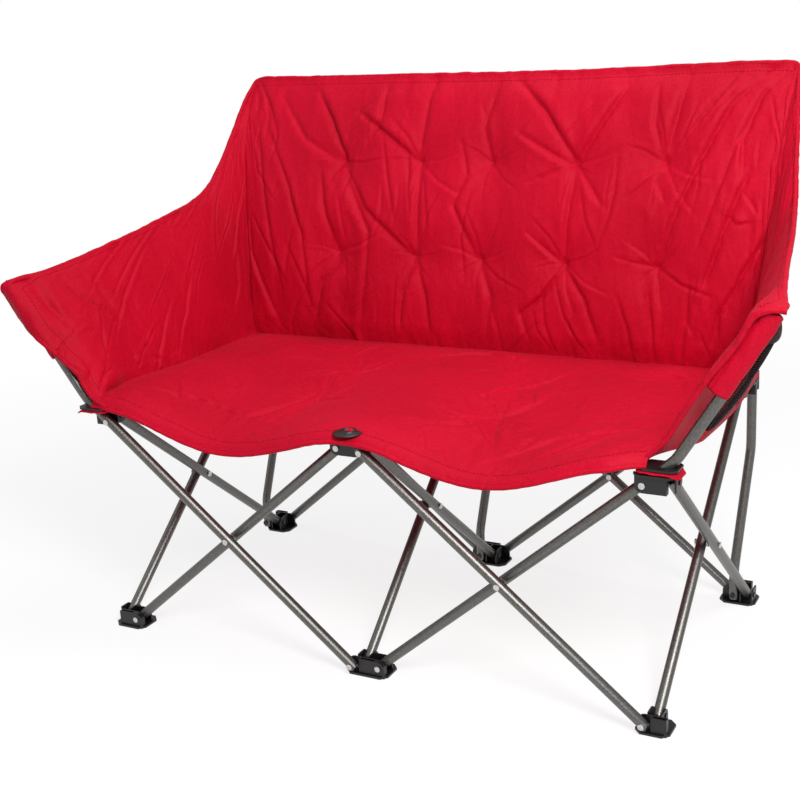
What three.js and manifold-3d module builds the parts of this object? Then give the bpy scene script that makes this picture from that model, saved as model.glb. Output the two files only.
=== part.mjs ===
// A two-seat folding camp chair: a scissor frame of steel tube on six moulded feet, three
// rear uprights with sliding collars, and a quilted seat, back and arms. +Z up, -Y to the front.
import * as THREE from "three";
import { mergeVertices } from "three/addons/utils/BufferGeometryUtils.js";
import Module from "manifold-3d";

const wasm = await Module();
wasm.setup();

// Driving dimensions of the frame, in millimetres
const PITCH = 530; // between leg columns, across each bay and from front row to rear row
const RISE = 400; // upper pivots above the foot pivots, chair open
const PIVOT_HEIGHT = 18; // pivots above a foot's sole and below a hub's top plate
const PIVOT_OFFSET = 25; // pivots beside the middle of their column
const TUBE = 18; // outer diameter of every tube
const TUBE_WALL = 1;
const BORE_SIDES = 6;
const CLEAR = 0.4; // running gap between pieces that move or seat on each other

// Driving dimensions of the moulded feet, hubs and collars
const WALL = 3; // moulded wall that a leg is riveted to
const EAR = 12; // radius of a wall about its pivot
const BASE = 4; // sole of a foot, top plate of a hub
const FLANGE = 4; // base beyond the walls
const CHAMFER = 11; // cut corner of the base
const BOX_DEPTH = 9; // hollow box in front of the front wall
const BOX_WALL = 2.5;
const GUIDE_WALL = 3.2; // collar wall about its upright
const GUIDE_HEIGHT = 34;
const GUIDE_WEB = 6;
const GUIDE_SIDES = 12;

// Driving dimensions of the rivets
const PIN = 3; // pin radius
const HEAD = 5.5; // head radius
const HEAD_HEIGHT = 2;
const PIN_SIDES = 6;
const HEAD_SIDES = 8;
const BITE = 1; // pieces that are moulded or upset as one run this far into each other

// Driving dimensions of the rear uprights
const UPRIGHT_FOOT_X = 13; // beside the middle of the column, at the foot
const UPRIGHT_SIDE = 6; // the same, on the sliding stretch
const UPRIGHT_BACK = 50; // sliding stretch behind the rear leg row
const UPRIGHT_LOW = 70; // the lower bend starts here
const UPRIGHT_MID = 285; // and ends here
const UPRIGHT_SLIDE = 254; // straight stretch above the open hubs, before the recline
const UPRIGHT_DROP = 18; // uprights end below the back's top edge
const UPRIGHT_INSET = 9; // outer uprights inside the back's top corners
const BEND_RADIUS = 60;

// Driving dimensions of the arms
const ARM_STRAIGHT = 60; // arm tube past the hub pivot before it bends up
const ARM_OUT = 177; // arm tube's end from its hub pivot: out, aside and up
const ARM_ASIDE = 13;
const ARM_UP = 246;
const SLEEVE_WALL = 3.5;
const SLEEVE_UP = 138; // the sewn sleeve covers the arm tube from here above the hub pivot
const PLATE = [62, 46, 3]; // corner plate about the arm tube: length, width, thickness
const PLATE_CORNER = 9; // cut off each corner
const PLATE_REACH = 39; // plate along the tube from the hub pivot
const PLATE_INWARD = 7; // middle of the plate inwards of the tube
const PLATE_GAP = 0.1; // between the plate and the seat
const TAB = 2.4; // fabric tab under the plate
const TAB_MARGIN = 6;

// Driving dimensions of the quilted fabric
const SEAT_OVERHANG = 22; // seat past the outer leg columns
const SEAT_FRONT = -26;
const SEAT_PAST_COLLAR = 4; // seat past the rear leg row
const SEAT_CORNER = 78; // the front edge draws back over this width to clear the arm tubes
const SEAT_OVER_HUB = 11; // top of the seat above the middle hub, the corner hubs and the collars
const SEAT_OVER_CORNER = 35;
const SEAT_OVER_COLLAR = 13;
const FRONT_SAG = 46; // the front edge hangs this far between hubs
const SEAT_SAG = 12;
const SEAT_CROWN = 24;
const SEAT_EDGE = 7;
const SEAT_LIP = 11; // front edge turned down
const BACK_HEIGHT = 527; // above the seat
const BACK_INSET = 6; // back inside the seat's width, at the seat
const BACK_FLARE = 19; // each top corner past the foot of the back
const BACK_BEHIND = 1; // quilting line of the back behind the rear leg row, at the seat
const RECLINE = 110; // the back's top behind its foot
const BACK_CROWN = 19;
const BACK_EDGE = 4;
const LINING = 5; // fabric behind the quilting line
const TUFT_COLUMNS = 5;
const TUFT_PITCH = 170;
const TUFT_ROWS = [0.345, 0.69]; // share of the back's height
const SEAT_TUFTS = [[-185, 195], [185, 195], [-185, 345], [185, 345]];
const TUFT_SPREAD = 42;
const ARM_THICK = 4; // half of the arm's thickness at its seams
const ARM_CROWN = 7;
const SEAM_GAP = 1.5; // arm edge off the seat and back it is sewn to, on its middle line
const HEM = [ // the arm's top edge: share of the way from tip to back corner across, along and up
  [0.19, 0.14, 0.02],
  [0.36, 0.31, 0.07],
  [0.52, 0.51, 0.15],
  [0.68, 0.68, 0.24],
  [0.75, 0.75, 0.32],
  [0.81, 0.8, 0.44],
  [0.87, 0.86, 0.61],
  [0.95, 0.93, 0.84],
];
const POCKET_THICK = 1.6;
const SEAT_CAP = 26; // radius of the plain cap over the middle hub
const CAP_RING = 14; // outer radius of its raised ring
const SEAT_CAP_Y = -7;

// Derived frame values
const R = TUBE / 2;
const SPAN = PITCH - 2 * PIVOT_OFFSET;
const LEG = Math.hypot(SPAN, RISE);
const LEAN = Math.atan2(SPAN, RISE); // leg angle from the vertical
const HUB_PIVOT = PIVOT_HEIGHT + RISE;
const HUB_TOP = HUB_PIVOT + PIVOT_HEIGHT;
const LEG_PLANE = WALL / 2 + CLEAR + R; // leg centre line from the middle of its wall
const POCKET_IN = LEG_PLANE + R + CLEAR; // inner face of a pocket's second wall
const POCKET_OUT = POCKET_IN + WALL;
const REACH = PIVOT_OFFSET + EAR;
const BOX_SIDE = PIVOT_OFFSET - R - 3;
const BOX_FRONT = WALL / 2 + BOX_DEPTH - 1.5;
const UPRIGHT_FRONT = POCKET_OUT + CLEAR + R; // upright's foot in front of the rear leg row
const HOLE = PIN + 1.5 * CLEAR;
const SEAT_HUB_TOP = HUB_TOP + SEAT_OVER_HUB;
const SEAT_CORNER_TOP = HUB_TOP + SEAT_OVER_CORNER;
const SEAT_REAR_TOP = HUB_TOP + SEAT_OVER_COLLAR;
const BACK_TOP = SEAT_REAR_TOP + BACK_HEIGHT;
const UPRIGHT_BEND = HUB_TOP + UPRIGHT_SLIDE;
const UPRIGHT_TOP = BACK_TOP - UPRIGHT_DROP;
const SEAT_HALF = PITCH + SEAT_OVERHANG;
const SEAT_REAR = PITCH + SEAT_PAST_COLLAR;
const BACK_FRONT = PITCH + BACK_BEHIND;
const BACK_LOW_HALF = SEAT_HALF - BACK_INSET;
const BACK_TOP_HALF = BACK_LOW_HALF + BACK_FLARE;
const COLUMNS = { left: -PITCH, center: 0, right: PITCH };
const X = new THREE.Vector3(1, 0, 0);
const Y = new THREE.Vector3(0, 1, 0);
const Z = new THREE.Vector3(0, 0, 1);

// Solids
function solidOf(geometry) {
  geometry.deleteAttribute("normal");
  geometry.deleteAttribute("uv");
  const merged = mergeVertices(geometry, 1e-3);
  const vertProperties = merged.getAttribute("position").array;
  const triVerts = new Uint32Array(merged.index.array);
  return new wasm.Manifold(new wasm.Mesh({ numProp: 3, vertProperties, triVerts }));
}

function geometryOf(solid) {
  const mesh = solid.getMesh();
  const position = new THREE.BufferAttribute(mesh.vertProperties, 3);
  const index = new THREE.BufferAttribute(mesh.triVerts, 1);
  return new THREE.BufferGeometry().setAttribute("position", position).setIndex(index);
}

const joined = (solids) => solids.reduce((all, one) => all.add(one));

function block(x0, x1, y0, y1, z0, z1) {
  const box = new THREE.BoxGeometry(x1 - x0, y1 - y0, z1 - z0);
  return solidOf(box.translate((x0 + x1) / 2, (y0 + y1) / 2, (z0 + z1) / 2));
}

function rod(radius, from, to, sides = radius > HOLE ? HEAD_SIDES : PIN_SIDES) {
  const start = new THREE.Vector3(...from);
  const end = new THREE.Vector3(...to);
  const along = end.clone().sub(start);
  const turn = new THREE.Quaternion().setFromUnitVectors(Y, along.clone().normalize());
  const bar = new THREE.CylinderGeometry(radius, radius, along.length(), sides);
  const middle = start.add(end).multiplyScalar(0.5);
  return solidOf(bar.applyQuaternion(turn).translate(middle.x, middle.y, middle.z));
}

function extruded(shape, depth, axes, offset) {
  const options = { depth, bevelEnabled: false, curveSegments: 2 };
  const turn = new THREE.Matrix4().makeBasis(...axes);
  const plate = new THREE.ExtrudeGeometry(shape, options).applyMatrix4(turn);
  return solidOf(plate.translate(offset.x, offset.y, offset.z));
}

// Walls drawn in a side view and given a thickness along X, Y or Z
const wallAlongX = (shape, y0, y1) =>
  extruded(shape, y1 - y0, [X, Z, Y.clone().negate()], new THREE.Vector3(0, y1, 0));
const wallAlongY = (shape, x0, x1) =>
  extruded(shape, x1 - x0, [Y, Z, X], new THREE.Vector3(x0, 0, 0));
const slab = (shape, z0, z1) => extruded(shape, z1 - z0, [X, Y, Z], new THREE.Vector3(0, 0, z0));

// A curve through corners with round bends, with one step to each straight stretch
class BentPath extends THREE.Curve {
  constructor(corners, radius, steps = 2) {
    super();
    this.knots = [corners[0]];
    for (let i = 1; i < corners.length - 1; i++) {
      const back = corners[i - 1].clone().sub(corners[i]);
      const ahead = corners[i + 1].clone().sub(corners[i]);
      const turn = Math.PI - back.angleTo(ahead);
      const most = 0.45 * Math.min(back.length(), ahead.length());
      const trim = Math.min(radius * Math.tan(turn / 2), most);
      const start = corners[i].clone().addScaledVector(back.normalize(), trim);
      const end = corners[i].clone().addScaledVector(ahead.normalize(), trim);
      this.knots.push(...new THREE.QuadraticBezierCurve3(start, corners[i], end).getPoints(steps));
    }
    this.knots.push(corners[corners.length - 1]);
    this.steps = this.knots.length - 1;
  }

  getPoint(t, target = new THREE.Vector3()) {
    const at = Math.min(Math.floor(t * this.steps), this.steps - 1);
    return target.lerpVectors(this.knots[at], this.knots[at + 1], t * this.steps - at);
  }

  getTangent(t, target = new THREE.Vector3()) {
    const at = Math.round(t * this.steps);
    const before = this.knots[Math.max(at - 1, 0)];
    const after = this.knots[Math.min(at + 1, this.steps)];
    return target.subVectors(after, before).normalize();
  }

  getPointAt(u, target) {
    return this.getPoint(u, target);
  }

  getTangentAt(u, target) {
    return this.getTangent(u, target);
  }
}

function disc(radius, sides) {
  const points = [];
  for (let i = 0; i < sides; i++) {
    const angle = (2 * Math.PI * (i + 0.5)) / sides;
    points.push(new THREE.Vector2(radius * Math.cos(angle), radius * Math.sin(angle)));
  }
  return new THREE.Shape(points);
}

function bar(corners, radius, sides = 12) {
  const path = new BentPath(corners, BEND_RADIUS);
  const options = { steps: path.steps, extrudePath: path, bevelEnabled: false };
  return solidOf(new THREE.ExtrudeGeometry(disc(radius, sides), options));
}

// A tube with open ends: the bore runs a little past both
function tube(corners) {
  const bore = corners.map((corner) => corner.clone());
  const last = corners.length - 1;
  bore[0].add(corners[0].clone().sub(corners[1]).setLength(1));
  bore[last].add(corners[last].clone().sub(corners[last - 1]).setLength(1));
  return bar(corners, R).subtract(bar(bore, R - TUBE_WALL, BORE_SIDES));
}

// Materials and nodes
const finish = (color, roughness, metalness) => () =>
  new THREE.MeshStandardMaterial({ color, roughness, metalness });
const steel = finish(0x4f4c48, 0.38, 0.85);
const bright = finish(0xc9c9c6, 0.25, 1);
const plastic = finish(0x19191a, 0.55, 0);
const cloth = finish(0xc01428, 0.6, 0);
const netting = finish(0x1c1a1b, 0.8, 0);

const chair = new THREE.Group();

function node(name, solid, material, position = [0, 0, 0], rotation = [0, 0, 0]) {
  const geometry = solid.isBufferGeometry ? solid : geometryOf(solid);
  const mesh = new THREE.Mesh(geometry, material());
  mesh.name = name;
  mesh.position.set(...position);
  mesh.rotation.set(...rotation);
  chair.add(mesh);
  return mesh;
}

// Feet, hubs and collars share one moulding. Its outer leg lies in front of the front wall at
// -X, its inner leg in a pocket behind that wall at +X, and its side leg runs back beside the
// middle wall. A hub is the moulding upside down, and the rear row has it turned about.
function wallShape(from, to, roundFrom, roundTo) {
  const top = PIVOT_HEIGHT + EAR;
  const shape = new THREE.Shape();
  shape.moveTo(from, 0);
  shape.lineTo(to, 0);
  if (roundTo) shape.absarc(to - EAR, PIVOT_HEIGHT, EAR, 0, Math.PI / 2, false);
  else shape.lineTo(to, top);
  if (roundFrom) shape.absarc(from + EAR, PIVOT_HEIGHT, EAR, Math.PI / 2, Math.PI, false);
  else shape.lineTo(from, top);
  return shape;
}

function baseShape(x0, x1, y0, y1, cutFront) {
  const front = cutFront ? CHAMFER : 0.5;
  return new THREE.Shape([
    new THREE.Vector2(x0 + front, y0),
    new THREE.Vector2(x1 - front, y0),
    new THREE.Vector2(x1, y0 + front),
    new THREE.Vector2(x1, y1 - CHAMFER),
    new THREE.Vector2(x1 - CHAMFER, y1),
    new THREE.Vector2(x0 + CHAMFER, y1),
    new THREE.Vector2(x0, y1 - CHAMFER),
    new THREE.Vector2(x0, y0 + front),
  ]);
}

// A rivet along Y through faces at y0 and y1, with a head past each
function rivetAlongY(x, z, y0, y1) {
  const front = y0 - CLEAR;
  const rear = y1 + CLEAR;
  return joined([
    rod(PIN, [x, front - BITE, z], [x, rear + BITE, z]),
    rod(HEAD, [x, front - HEAD_HEIGHT, z], [x, front, z]),
    rod(HEAD, [x, rear, z], [x, rear + HEAD_HEIGHT, z]),
  ]);
}

// The rear rivets are one with their moulding: the rear head bites into the wall it is upset on
function fastRivet(x, y0, y1) {
  const at = (y) => [x, y, PIVOT_HEIGHT];
  const front = y0 - CLEAR;
  return joined([
    rod(PIN, at(front - BITE), at(y1)),
    rod(HEAD, at(front - HEAD_HEIGHT), at(front)),
    rod(HEAD, at(y1 - BITE), at(y1 + HEAD_HEIGHT)),
  ]);
}

function moulding({ outer, inner, armOutside, armInside, loose, upright, guide }) {
  const left = outer ? -REACH : -BOX_SIDE;
  const right = inner ? REACH : BOX_SIDE;
  const baseLeft = Math.min(left, -POCKET_OUT) - FLANGE;
  const baseFront = armOutside ? -WALL / 2 : -BOX_FRONT - FLANGE;
  const outline = baseShape(baseLeft, right + FLANGE, baseFront, REACH + FLANGE, !armOutside);
  const middle = WALL / 2;
  const solids = [
    slab(outline, 0, BASE),
    wallAlongX(wallShape(left, right, outer, inner), -middle, middle),
    wallAlongY(wallShape(0, REACH, false, true), -middle, middle),
    wallAlongY(wallShape(HEAD + middle, REACH, false, true), -POCKET_OUT, -POCKET_IN),
    rod(PIN, [-POCKET_OUT, PIVOT_OFFSET, PIVOT_HEIGHT], [middle, PIVOT_OFFSET, PIVOT_HEIGHT]),
  ];
  const sideHeads = [
    [-POCKET_OUT - HEAD_HEIGHT, BITE - POCKET_OUT],
    [middle - BITE, middle + HEAD_HEIGHT],
  ];
  for (const [x0, x1] of sideHeads) {
    solids.push(rod(HEAD, [x0, PIVOT_OFFSET, PIVOT_HEIGHT], [x1, PIVOT_OFFSET, PIVOT_HEIGHT]));
  }
  if (inner || upright) {
    const end = inner ? REACH : BOX_SIDE + EAR;
    solids.push(wallAlongX(wallShape(0, end, false, true), POCKET_IN, POCKET_OUT));
  }
  if (!armOutside) {
    const box = wallAlongX(wallShape(-BOX_SIDE, right, false, inner), -BOX_FRONT, 0);
    const hollowEnd = inner ? PIVOT_OFFSET - HEAD - BOX_WALL : right - BOX_WALL;
    const hollowStart = -BOX_SIDE + BOX_WALL;
    const hollow = block(hollowStart, hollowEnd, -BOX_FRONT + BOX_WALL, -middle, BASE, HUB_TOP);
    solids.push(box.subtract(hollow));
  }
  if (guide) {
    const at = [-UPRIGHT_SIDE, -UPRIGHT_BACK];
    const radius = R + 2 * CLEAR + GUIDE_WALL;
    const web = [at[0] - GUIDE_WEB / 2, at[0] + GUIDE_WEB / 2, at[1], -BOX_FRONT + 1];
    solids.push(rod(radius, [...at, 0], [...at, GUIDE_HEIGHT], GUIDE_SIDES));
    solids.push(block(...web, 0, PIVOT_HEIGHT + EAR));
    solids.push(block(at[0] - radius, at[0] + radius, at[1], -BOX_FRONT, 0, BASE));
  }
  let solid = joined(solids);
  if (guide) {
    const at = [-UPRIGHT_SIDE, -UPRIGHT_BACK];
    const bore = (R + CLEAR) / Math.cos(Math.PI / GUIDE_SIDES);
    solid = solid.subtract(rod(bore, [...at, -1], [...at, GUIDE_HEIGHT + 1], GUIDE_SIDES));
  }
  if (armInside) {
    // The arm tube leaves the pocket through the top plate and over the middle wall
    const side = PIVOT_HEIGHT * Math.tan(LEAN) + R / Math.cos(LEAN) - PIVOT_OFFSET + 1;
    const under = (PIVOT_OFFSET - middle) / Math.tan(LEAN) - R / Math.sin(LEAN) - 1;
    const way = block(-side, right + 2 * FLANGE, middle, POCKET_IN, -1, PIVOT_HEIGHT - under);
    solid = solid.subtract(way);
  }
  const pins = [];
  if (outer) pins.push([-PIVOT_OFFSET, -LEG_PLANE - R, middle]);
  if (inner) pins.push([PIVOT_OFFSET, -BOX_FRONT, POCKET_OUT]);
  for (const [x, y0, y1] of pins) {
    const hole = rod(HOLE, [x, y0 - 1, PIVOT_HEIGHT], [x, y1 + 1, PIVOT_HEIGHT]);
    solid = loose ? solid.subtract(hole) : solid.add(fastRivet(x, y0, y1));
  }
  if (upright) {
    const face = POCKET_OUT + 2 * CLEAR + TUBE;
    const at = (y) => [UPRIGHT_FOOT_X, y, PIVOT_HEIGHT];
    const pin = rod(PIN, at(POCKET_OUT - BITE), at(face + BITE));
    solid = joined([solid, pin, rod(HEAD, at(face), at(face + HEAD_HEIGHT))]);
  }
  return solid;
}


const HALF_TURN = Math.PI;
for (const [name, x] of Object.entries(COLUMNS)) {
  const left = name === "left";
  const right = name === "right";
  const foot = { outer: !left, inner: !right, loose: true };
  const hub = { outer: !right, inner: !left, loose: true, armOutside: left, armInside: right };
  const rearFoot = { outer: !right, inner: !left, upright: true };
  const collar = { outer: !left, inner: !right, guide: true };
  node(`front_${name}_foot`, moulding(foot), plastic, [x, 0, 0]);
  node(`front_${name}_hub`, moulding(hub), plastic, [x, 0, HUB_TOP], [0, HALF_TURN, 0]);
  node(`rear_${name}_foot`, moulding(rearFoot), plastic, [x, PITCH, 0], [0, 0, HALF_TURN]);
  node(`rear_${name}_collar`, moulding(collar), plastic, [x, PITCH, HUB_TOP], [HALF_TURN, 0, 0]);
}

// Rivets of the front row: one through each outer and each inner leg
for (const [name, x] of Object.entries(COLUMNS)) {
  const ends = { foot: [PIVOT_HEIGHT, 1], hub: [HUB_PIVOT, -1] };
  for (const [end, [z, side]] of Object.entries(ends)) {
    const hasOuter = x - side * PIVOT_OFFSET > -PITCH && x - side * PIVOT_OFFSET < PITCH;
    const hasInner = x + side * PIVOT_OFFSET > -PITCH && x + side * PIVOT_OFFSET < PITCH;
    const outerPin = rivetAlongY(x - side * PIVOT_OFFSET, z, -LEG_PLANE - R, WALL / 2);
    const innerPin = rivetAlongY(x + side * PIVOT_OFFSET, z, -BOX_FRONT, POCKET_OUT);
    if (hasOuter) node(`front_${name}_${end}_outer_rivet`, outerPin, bright);
    if (hasInner) node(`front_${name}_${end}_inner_rivet`, innerPin, bright);
  }
}

// Scissor legs. A leg stands on its lower pivot, along +Z, with its rivets along Y.
function stadium(length) {
  const shape = new THREE.Shape();
  shape.absarc(0, length, R, 0, Math.PI, false);
  shape.absarc(0, 0, R, Math.PI, 2 * Math.PI, false);
  return wallAlongX(shape, -TUBE, TUBE);
}

function drilled(solid, heights) {
  const holes = heights.map((z) => rod(HOLE, [0, -TUBE, z], [0, TUBE, z]));
  return holes.reduce((rest, hole) => rest.subtract(hole), solid);
}

const RIVETED = [0, LEG / 2, LEG];
const straight = [new THREE.Vector3(0, 0, -R), new THREE.Vector3(0, 0, LEG + R)];
const plainLeg = geometryOf(drilled(tube(straight).intersect(stadium(LEG)), RIVETED));

// An arm leg runs on through its hub and bends up to the tip of the arm
function armCorners(lower, rotation, tip) {
  const frame = new THREE.Object3D();
  frame.position.set(...lower);
  frame.rotation.set(...rotation);
  frame.updateMatrixWorld();
  const end = frame.worldToLocal(tip.clone());
  return [straight[0], new THREE.Vector3(0, 0, LEG + ARM_STRAIGHT), end];
}

function tipOf(sign) {
  const out = PITCH - PIVOT_OFFSET + ARM_OUT;
  return new THREE.Vector3(sign * out, sign * (LEG_PLANE + ARM_ASIDE), HUB_PIVOT + ARM_UP);
}
const tips = { left: tipOf(-1), right: tipOf(1) };
const armTubes = {};

function armLeg(side, lower, rotation) {
  const corners = armCorners(lower, rotation, tips[side]);
  const round = stadium(2 * LEG);
  const solid = drilled(tube(corners).intersect(round.add(bar(corners.slice(1), TUBE, 8))), RIVETED);
  const mesh = node(`${side}_arm_leg`, solid, steel, lower, rotation);
  mesh.updateMatrixWorld();
  armTubes[side] = corners.map((corner) => mesh.localToWorld(corner.clone()));
}

const rows = { front: 0, rear: PITCH };
const bays = { left: [-PITCH, 0], right: [0, PITCH] };
for (const [row, y] of Object.entries(rows)) {
  for (const [bay, [x0, x1]] of Object.entries(bays)) {
    const leftLeaning = [x1 - PIVOT_OFFSET, y - LEG_PLANE, PIVOT_HEIGHT];
    const rightLeaning = [x0 + PIVOT_OFFSET, y + LEG_PLANE, PIVOT_HEIGHT];
    if (row === "front" && bay === "left") armLeg("left", leftLeaning, [0, -LEAN, 0]);
    else node(`${row}_${bay}_left_leaning_leg`, plainLeg, steel, leftLeaning, [0, -LEAN, 0]);
    if (row === "front" && bay === "right") armLeg("right", rightLeaning, [0, LEAN, 0]);
    else node(`${row}_${bay}_right_leaning_leg`, plainLeg, steel, rightLeaning, [0, LEAN, 0]);
  }
}
for (const [name, x] of Object.entries(COLUMNS)) {
  const back = [x - LEG_PLANE, PIVOT_OFFSET, PIVOT_HEIGHT];
  const forward = [x + LEG_PLANE, PITCH - PIVOT_OFFSET, PIVOT_HEIGHT];
  node(`${name}_side_back_leaning_leg`, plainLeg, steel, back, [-LEAN, 0, -Math.PI / 2]);
  node(`${name}_side_front_leaning_leg`, plainLeg, steel, forward, [LEAN, 0, -Math.PI / 2]);
}

// Rivets where two legs cross, with a shoulder that keeps the tubes apart
function crossRivet() {
  const end = LEG_PLANE + R;
  const shoulder = LEG_PLANE - R - CLEAR;
  const collar = rod(HEAD + 1, [0, -shoulder, 0], [0, shoulder, 0]);
  return geometryOf(rivetAlongY(0, 0, -end, end).add(collar));
}
const crossing = crossRivet();
const crossHeight = (PIVOT_HEIGHT + HUB_PIVOT) / 2;
for (const [row, y] of Object.entries(rows)) {
  for (const [bay, [x0, x1]] of Object.entries(bays)) {
    node(`${row}_${bay}_cross_rivet`, crossing, bright, [(x0 + x1) / 2, y, crossHeight]);
  }
}
for (const [name, x] of Object.entries(COLUMNS)) {
  node(`${name}_side_cross_rivet`, crossing, bright, [x, PITCH / 2, crossHeight], [0, 0, Math.PI / 2]);
}

// Uprights: riveted to the rear feet, bent back behind the rear legs, upright where the collars
// slide, and reclined above
const v3 = (x, y, z) => new THREE.Vector3(x, y, z);
// The back curves away from the seat, and stays in front of the uprights where they bend
const backShare = (z) => (z - SEAT_REAR_TOP) / (BACK_TOP - SEAT_REAR_TOP);
const bendRoom = PITCH + UPRIGHT_BACK - R - LINING - 2 * CLEAR - BACK_FRONT;
const backCurve = Math.max(2, Math.log(bendRoom / RECLINE) / Math.log(backShare(UPRIGHT_BEND)));
const backLine = (z) => BACK_FRONT + RECLINE * Math.max(backShare(z), 0) ** backCurve;
const uprightTopY = backLine(UPRIGHT_TOP) + LINING + R + 2 * CLEAR + 1;
const uprights = {};
for (const [name, x] of Object.entries(COLUMNS)) {
  const topX = x ? Math.sign(x) * (BACK_TOP_HALF - UPRIGHT_INSET) : -UPRIGHT_SIDE;
  const foot = v3(x - UPRIGHT_FOOT_X, PITCH - UPRIGHT_FRONT, PIVOT_HEIGHT - R);
  const slide = v3(x - UPRIGHT_SIDE, PITCH + UPRIGHT_BACK, UPRIGHT_MID);
  const corners = [
    foot,
    foot.clone().setZ(UPRIGHT_LOW),
    slide,
    slide.clone().setZ(UPRIGHT_BEND),
    v3(topX, uprightTopY, UPRIGHT_TOP),
  ];
  uprights[name] = corners;
  const pin = [corners[0].x, corners[0].y];
  const hole = rod(HOLE, [pin[0], pin[1] - TUBE, PIVOT_HEIGHT], [pin[0], pin[1] + TUBE, PIVOT_HEIGHT]);
  node(`rear_${name}_upright`, tube(corners).subtract(hole), steel);
}

// Plugs in the open ends of the uprights and arm tubes
const PLUG_DEPTH = 14;
const PLUG_HEAD = 3;
function plug() {
  const bore = (R - TUBE_WALL) * Math.cos(Math.PI / BORE_SIDES) - CLEAR;
  const profile = [[0, -PLUG_DEPTH], [bore, -PLUG_DEPTH], [bore, 0.3], [R, 0.3]];
  profile.push([R - 1.5, PLUG_HEAD], [0, PLUG_HEAD]);
  return new THREE.LatheGeometry(profile.map((p) => new THREE.Vector2(...p)), 10);
}
function placePlug(name, corners) {
  const end = corners[corners.length - 1];
  const along = end.clone().sub(corners[corners.length - 2]).normalize();
  const mesh = node(name, solidOf(plug()), plastic, end.toArray());
  mesh.quaternion.setFromUnitVectors(Y, along);
}
for (const name of Object.keys(COLUMNS)) placePlug(`rear_${name}_upright_plug`, uprights[name]);
for (const side of Object.keys(tips)) placePlug(`${side}_arm_plug`, armTubes[side]);

// Corner plates and fabric tabs about the arm tubes, just above the front hubs
const plateRooms = [];
for (const side of Object.keys(tips)) {
  const sign = side === "left" ? -1 : 1;
  const start = v3(sign * (PITCH - PIVOT_OFFSET), sign * LEG_PLANE, HUB_PIVOT);
  const at = start.clone().add(v3(sign * Math.sin(LEAN), 0, Math.cos(LEAN)).multiplyScalar(PLATE_REACH));
  const [length, width, thick] = PLATE;
  const outline = (extra) => {
    const [a, b] = [length / 2 + extra, width / 2 + extra];
    const [c, d] = [a - PLATE_CORNER, b - PLATE_CORNER];
    const ends = [[c, -b], [a, -d], [a, d], [c, b], [-c, b], [-a, d], [-a, -d], [-c, -b]];
    return new THREE.Shape(ends.map((p) => new THREE.Vector2(...p)));
  };
  const pass = bar([armTubes[side][0], armTubes[side][1]], R + CLEAR);
  const middle = at.x - sign * PLATE_INWARD;
  const plateSolid = slab(outline(0), 0, thick).translate([middle, at.y, at.z]);
  const tabSolid = slab(outline(TAB_MARGIN / 2), 0, TAB).translate([middle, at.y, at.z - TAB - CLEAR]);
  plateRooms.push(slab(outline(PLATE_GAP), -PLATE_GAP, thick + PLATE_GAP).translate([middle, at.y, at.z]));
  node(`${side}_corner_plate`, plateSolid.subtract(pass), plastic);
  node(`${side}_corner_tab`, tabSolid.subtract(pass), cloth);
}

// A point off a surface, along its normal
function offset(surface, u, v, distance) {
  const step = 1e-3;
  const du = surface(Math.min(u + step, 1), v).sub(surface(Math.max(u - step, 0), v));
  const dv = surface(u, Math.min(v + step, 1)).sub(surface(u, Math.max(v - step, 0)));
  return surface(u, v).addScaledVector(du.cross(dv).normalize(), distance);
}

// Quilted fabric: a sheet with its own thickness in front of and behind a middle surface
function sheet(surface, front, rear, columns, lines) {
  const points = [];
  for (const side of [1, -1]) {
    for (let j = 0; j <= lines; j++) {
      for (let i = 0; i <= columns; i++) {
        const u = i / columns;
        const v = j / lines;
        const p = offset(surface, u, v, side > 0 ? front(u, v) : -rear(u, v));
        points.push(p.x, p.y, p.z);
      }
    }
  }
  const row = columns + 1;
  const layer = row * (lines + 1);
  const index = [];
  const quad = (a, b, c, d) => index.push(a, b, c, a, c, d);
  for (let j = 0; j < lines; j++) {
    for (let i = 0; i < columns; i++) {
      const a = j * row + i;
      quad(a, a + 1, a + row + 1, a + row);
      quad(layer + a, layer + a + row, layer + a + row + 1, layer + a + 1);
    }
  }
  const rim = [];
  for (let i = 0; i < columns; i++) rim.push(i);
  for (let j = 0; j < lines; j++) rim.push(j * row + columns);
  for (let i = columns; i > 0; i--) rim.push(lines * row + i);
  for (let j = lines; j > 0; j--) rim.push(j * row);
  rim.forEach((a, i) => {
    const b = rim[(i + 1) % rim.length];
    quad(a, layer + a, layer + b, b);
  });
  const geometry = new THREE.BufferGeometry();
  geometry.setAttribute("position", new THREE.Float32BufferAttribute(points, 3)).setIndex(index);
  return solidOf(geometry);
}

const smooth = (t) => {
  const s = Math.min(Math.max(t, 0), 1);
  return s * s * (3 - 2 * s);
};
const mix = (a, b, t) => a + (b - a) * t;
const fromList = (list, t) => {
  const at = Math.min(Math.floor(t * (list.length - 1) + 1e-9), list.length - 2);
  return mix(list[at], list[at + 1], t * (list.length - 1) - at);
};
// Padding rises from its seams and is drawn in at each tuft
const fromSeam = (share, width) => smooth(Math.min(share, 1 - share) / width);
function tuftPull(a, b, tufts) {
  const pull = tufts.map(([ta, tb]) => Math.exp(-((a - ta) ** 2 + (b - tb) ** 2) / TUFT_SPREAD ** 2));
  return 1 - 0.9 * Math.min(pull.reduce((sum, one) => sum + one, 0), 1);
}

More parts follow.
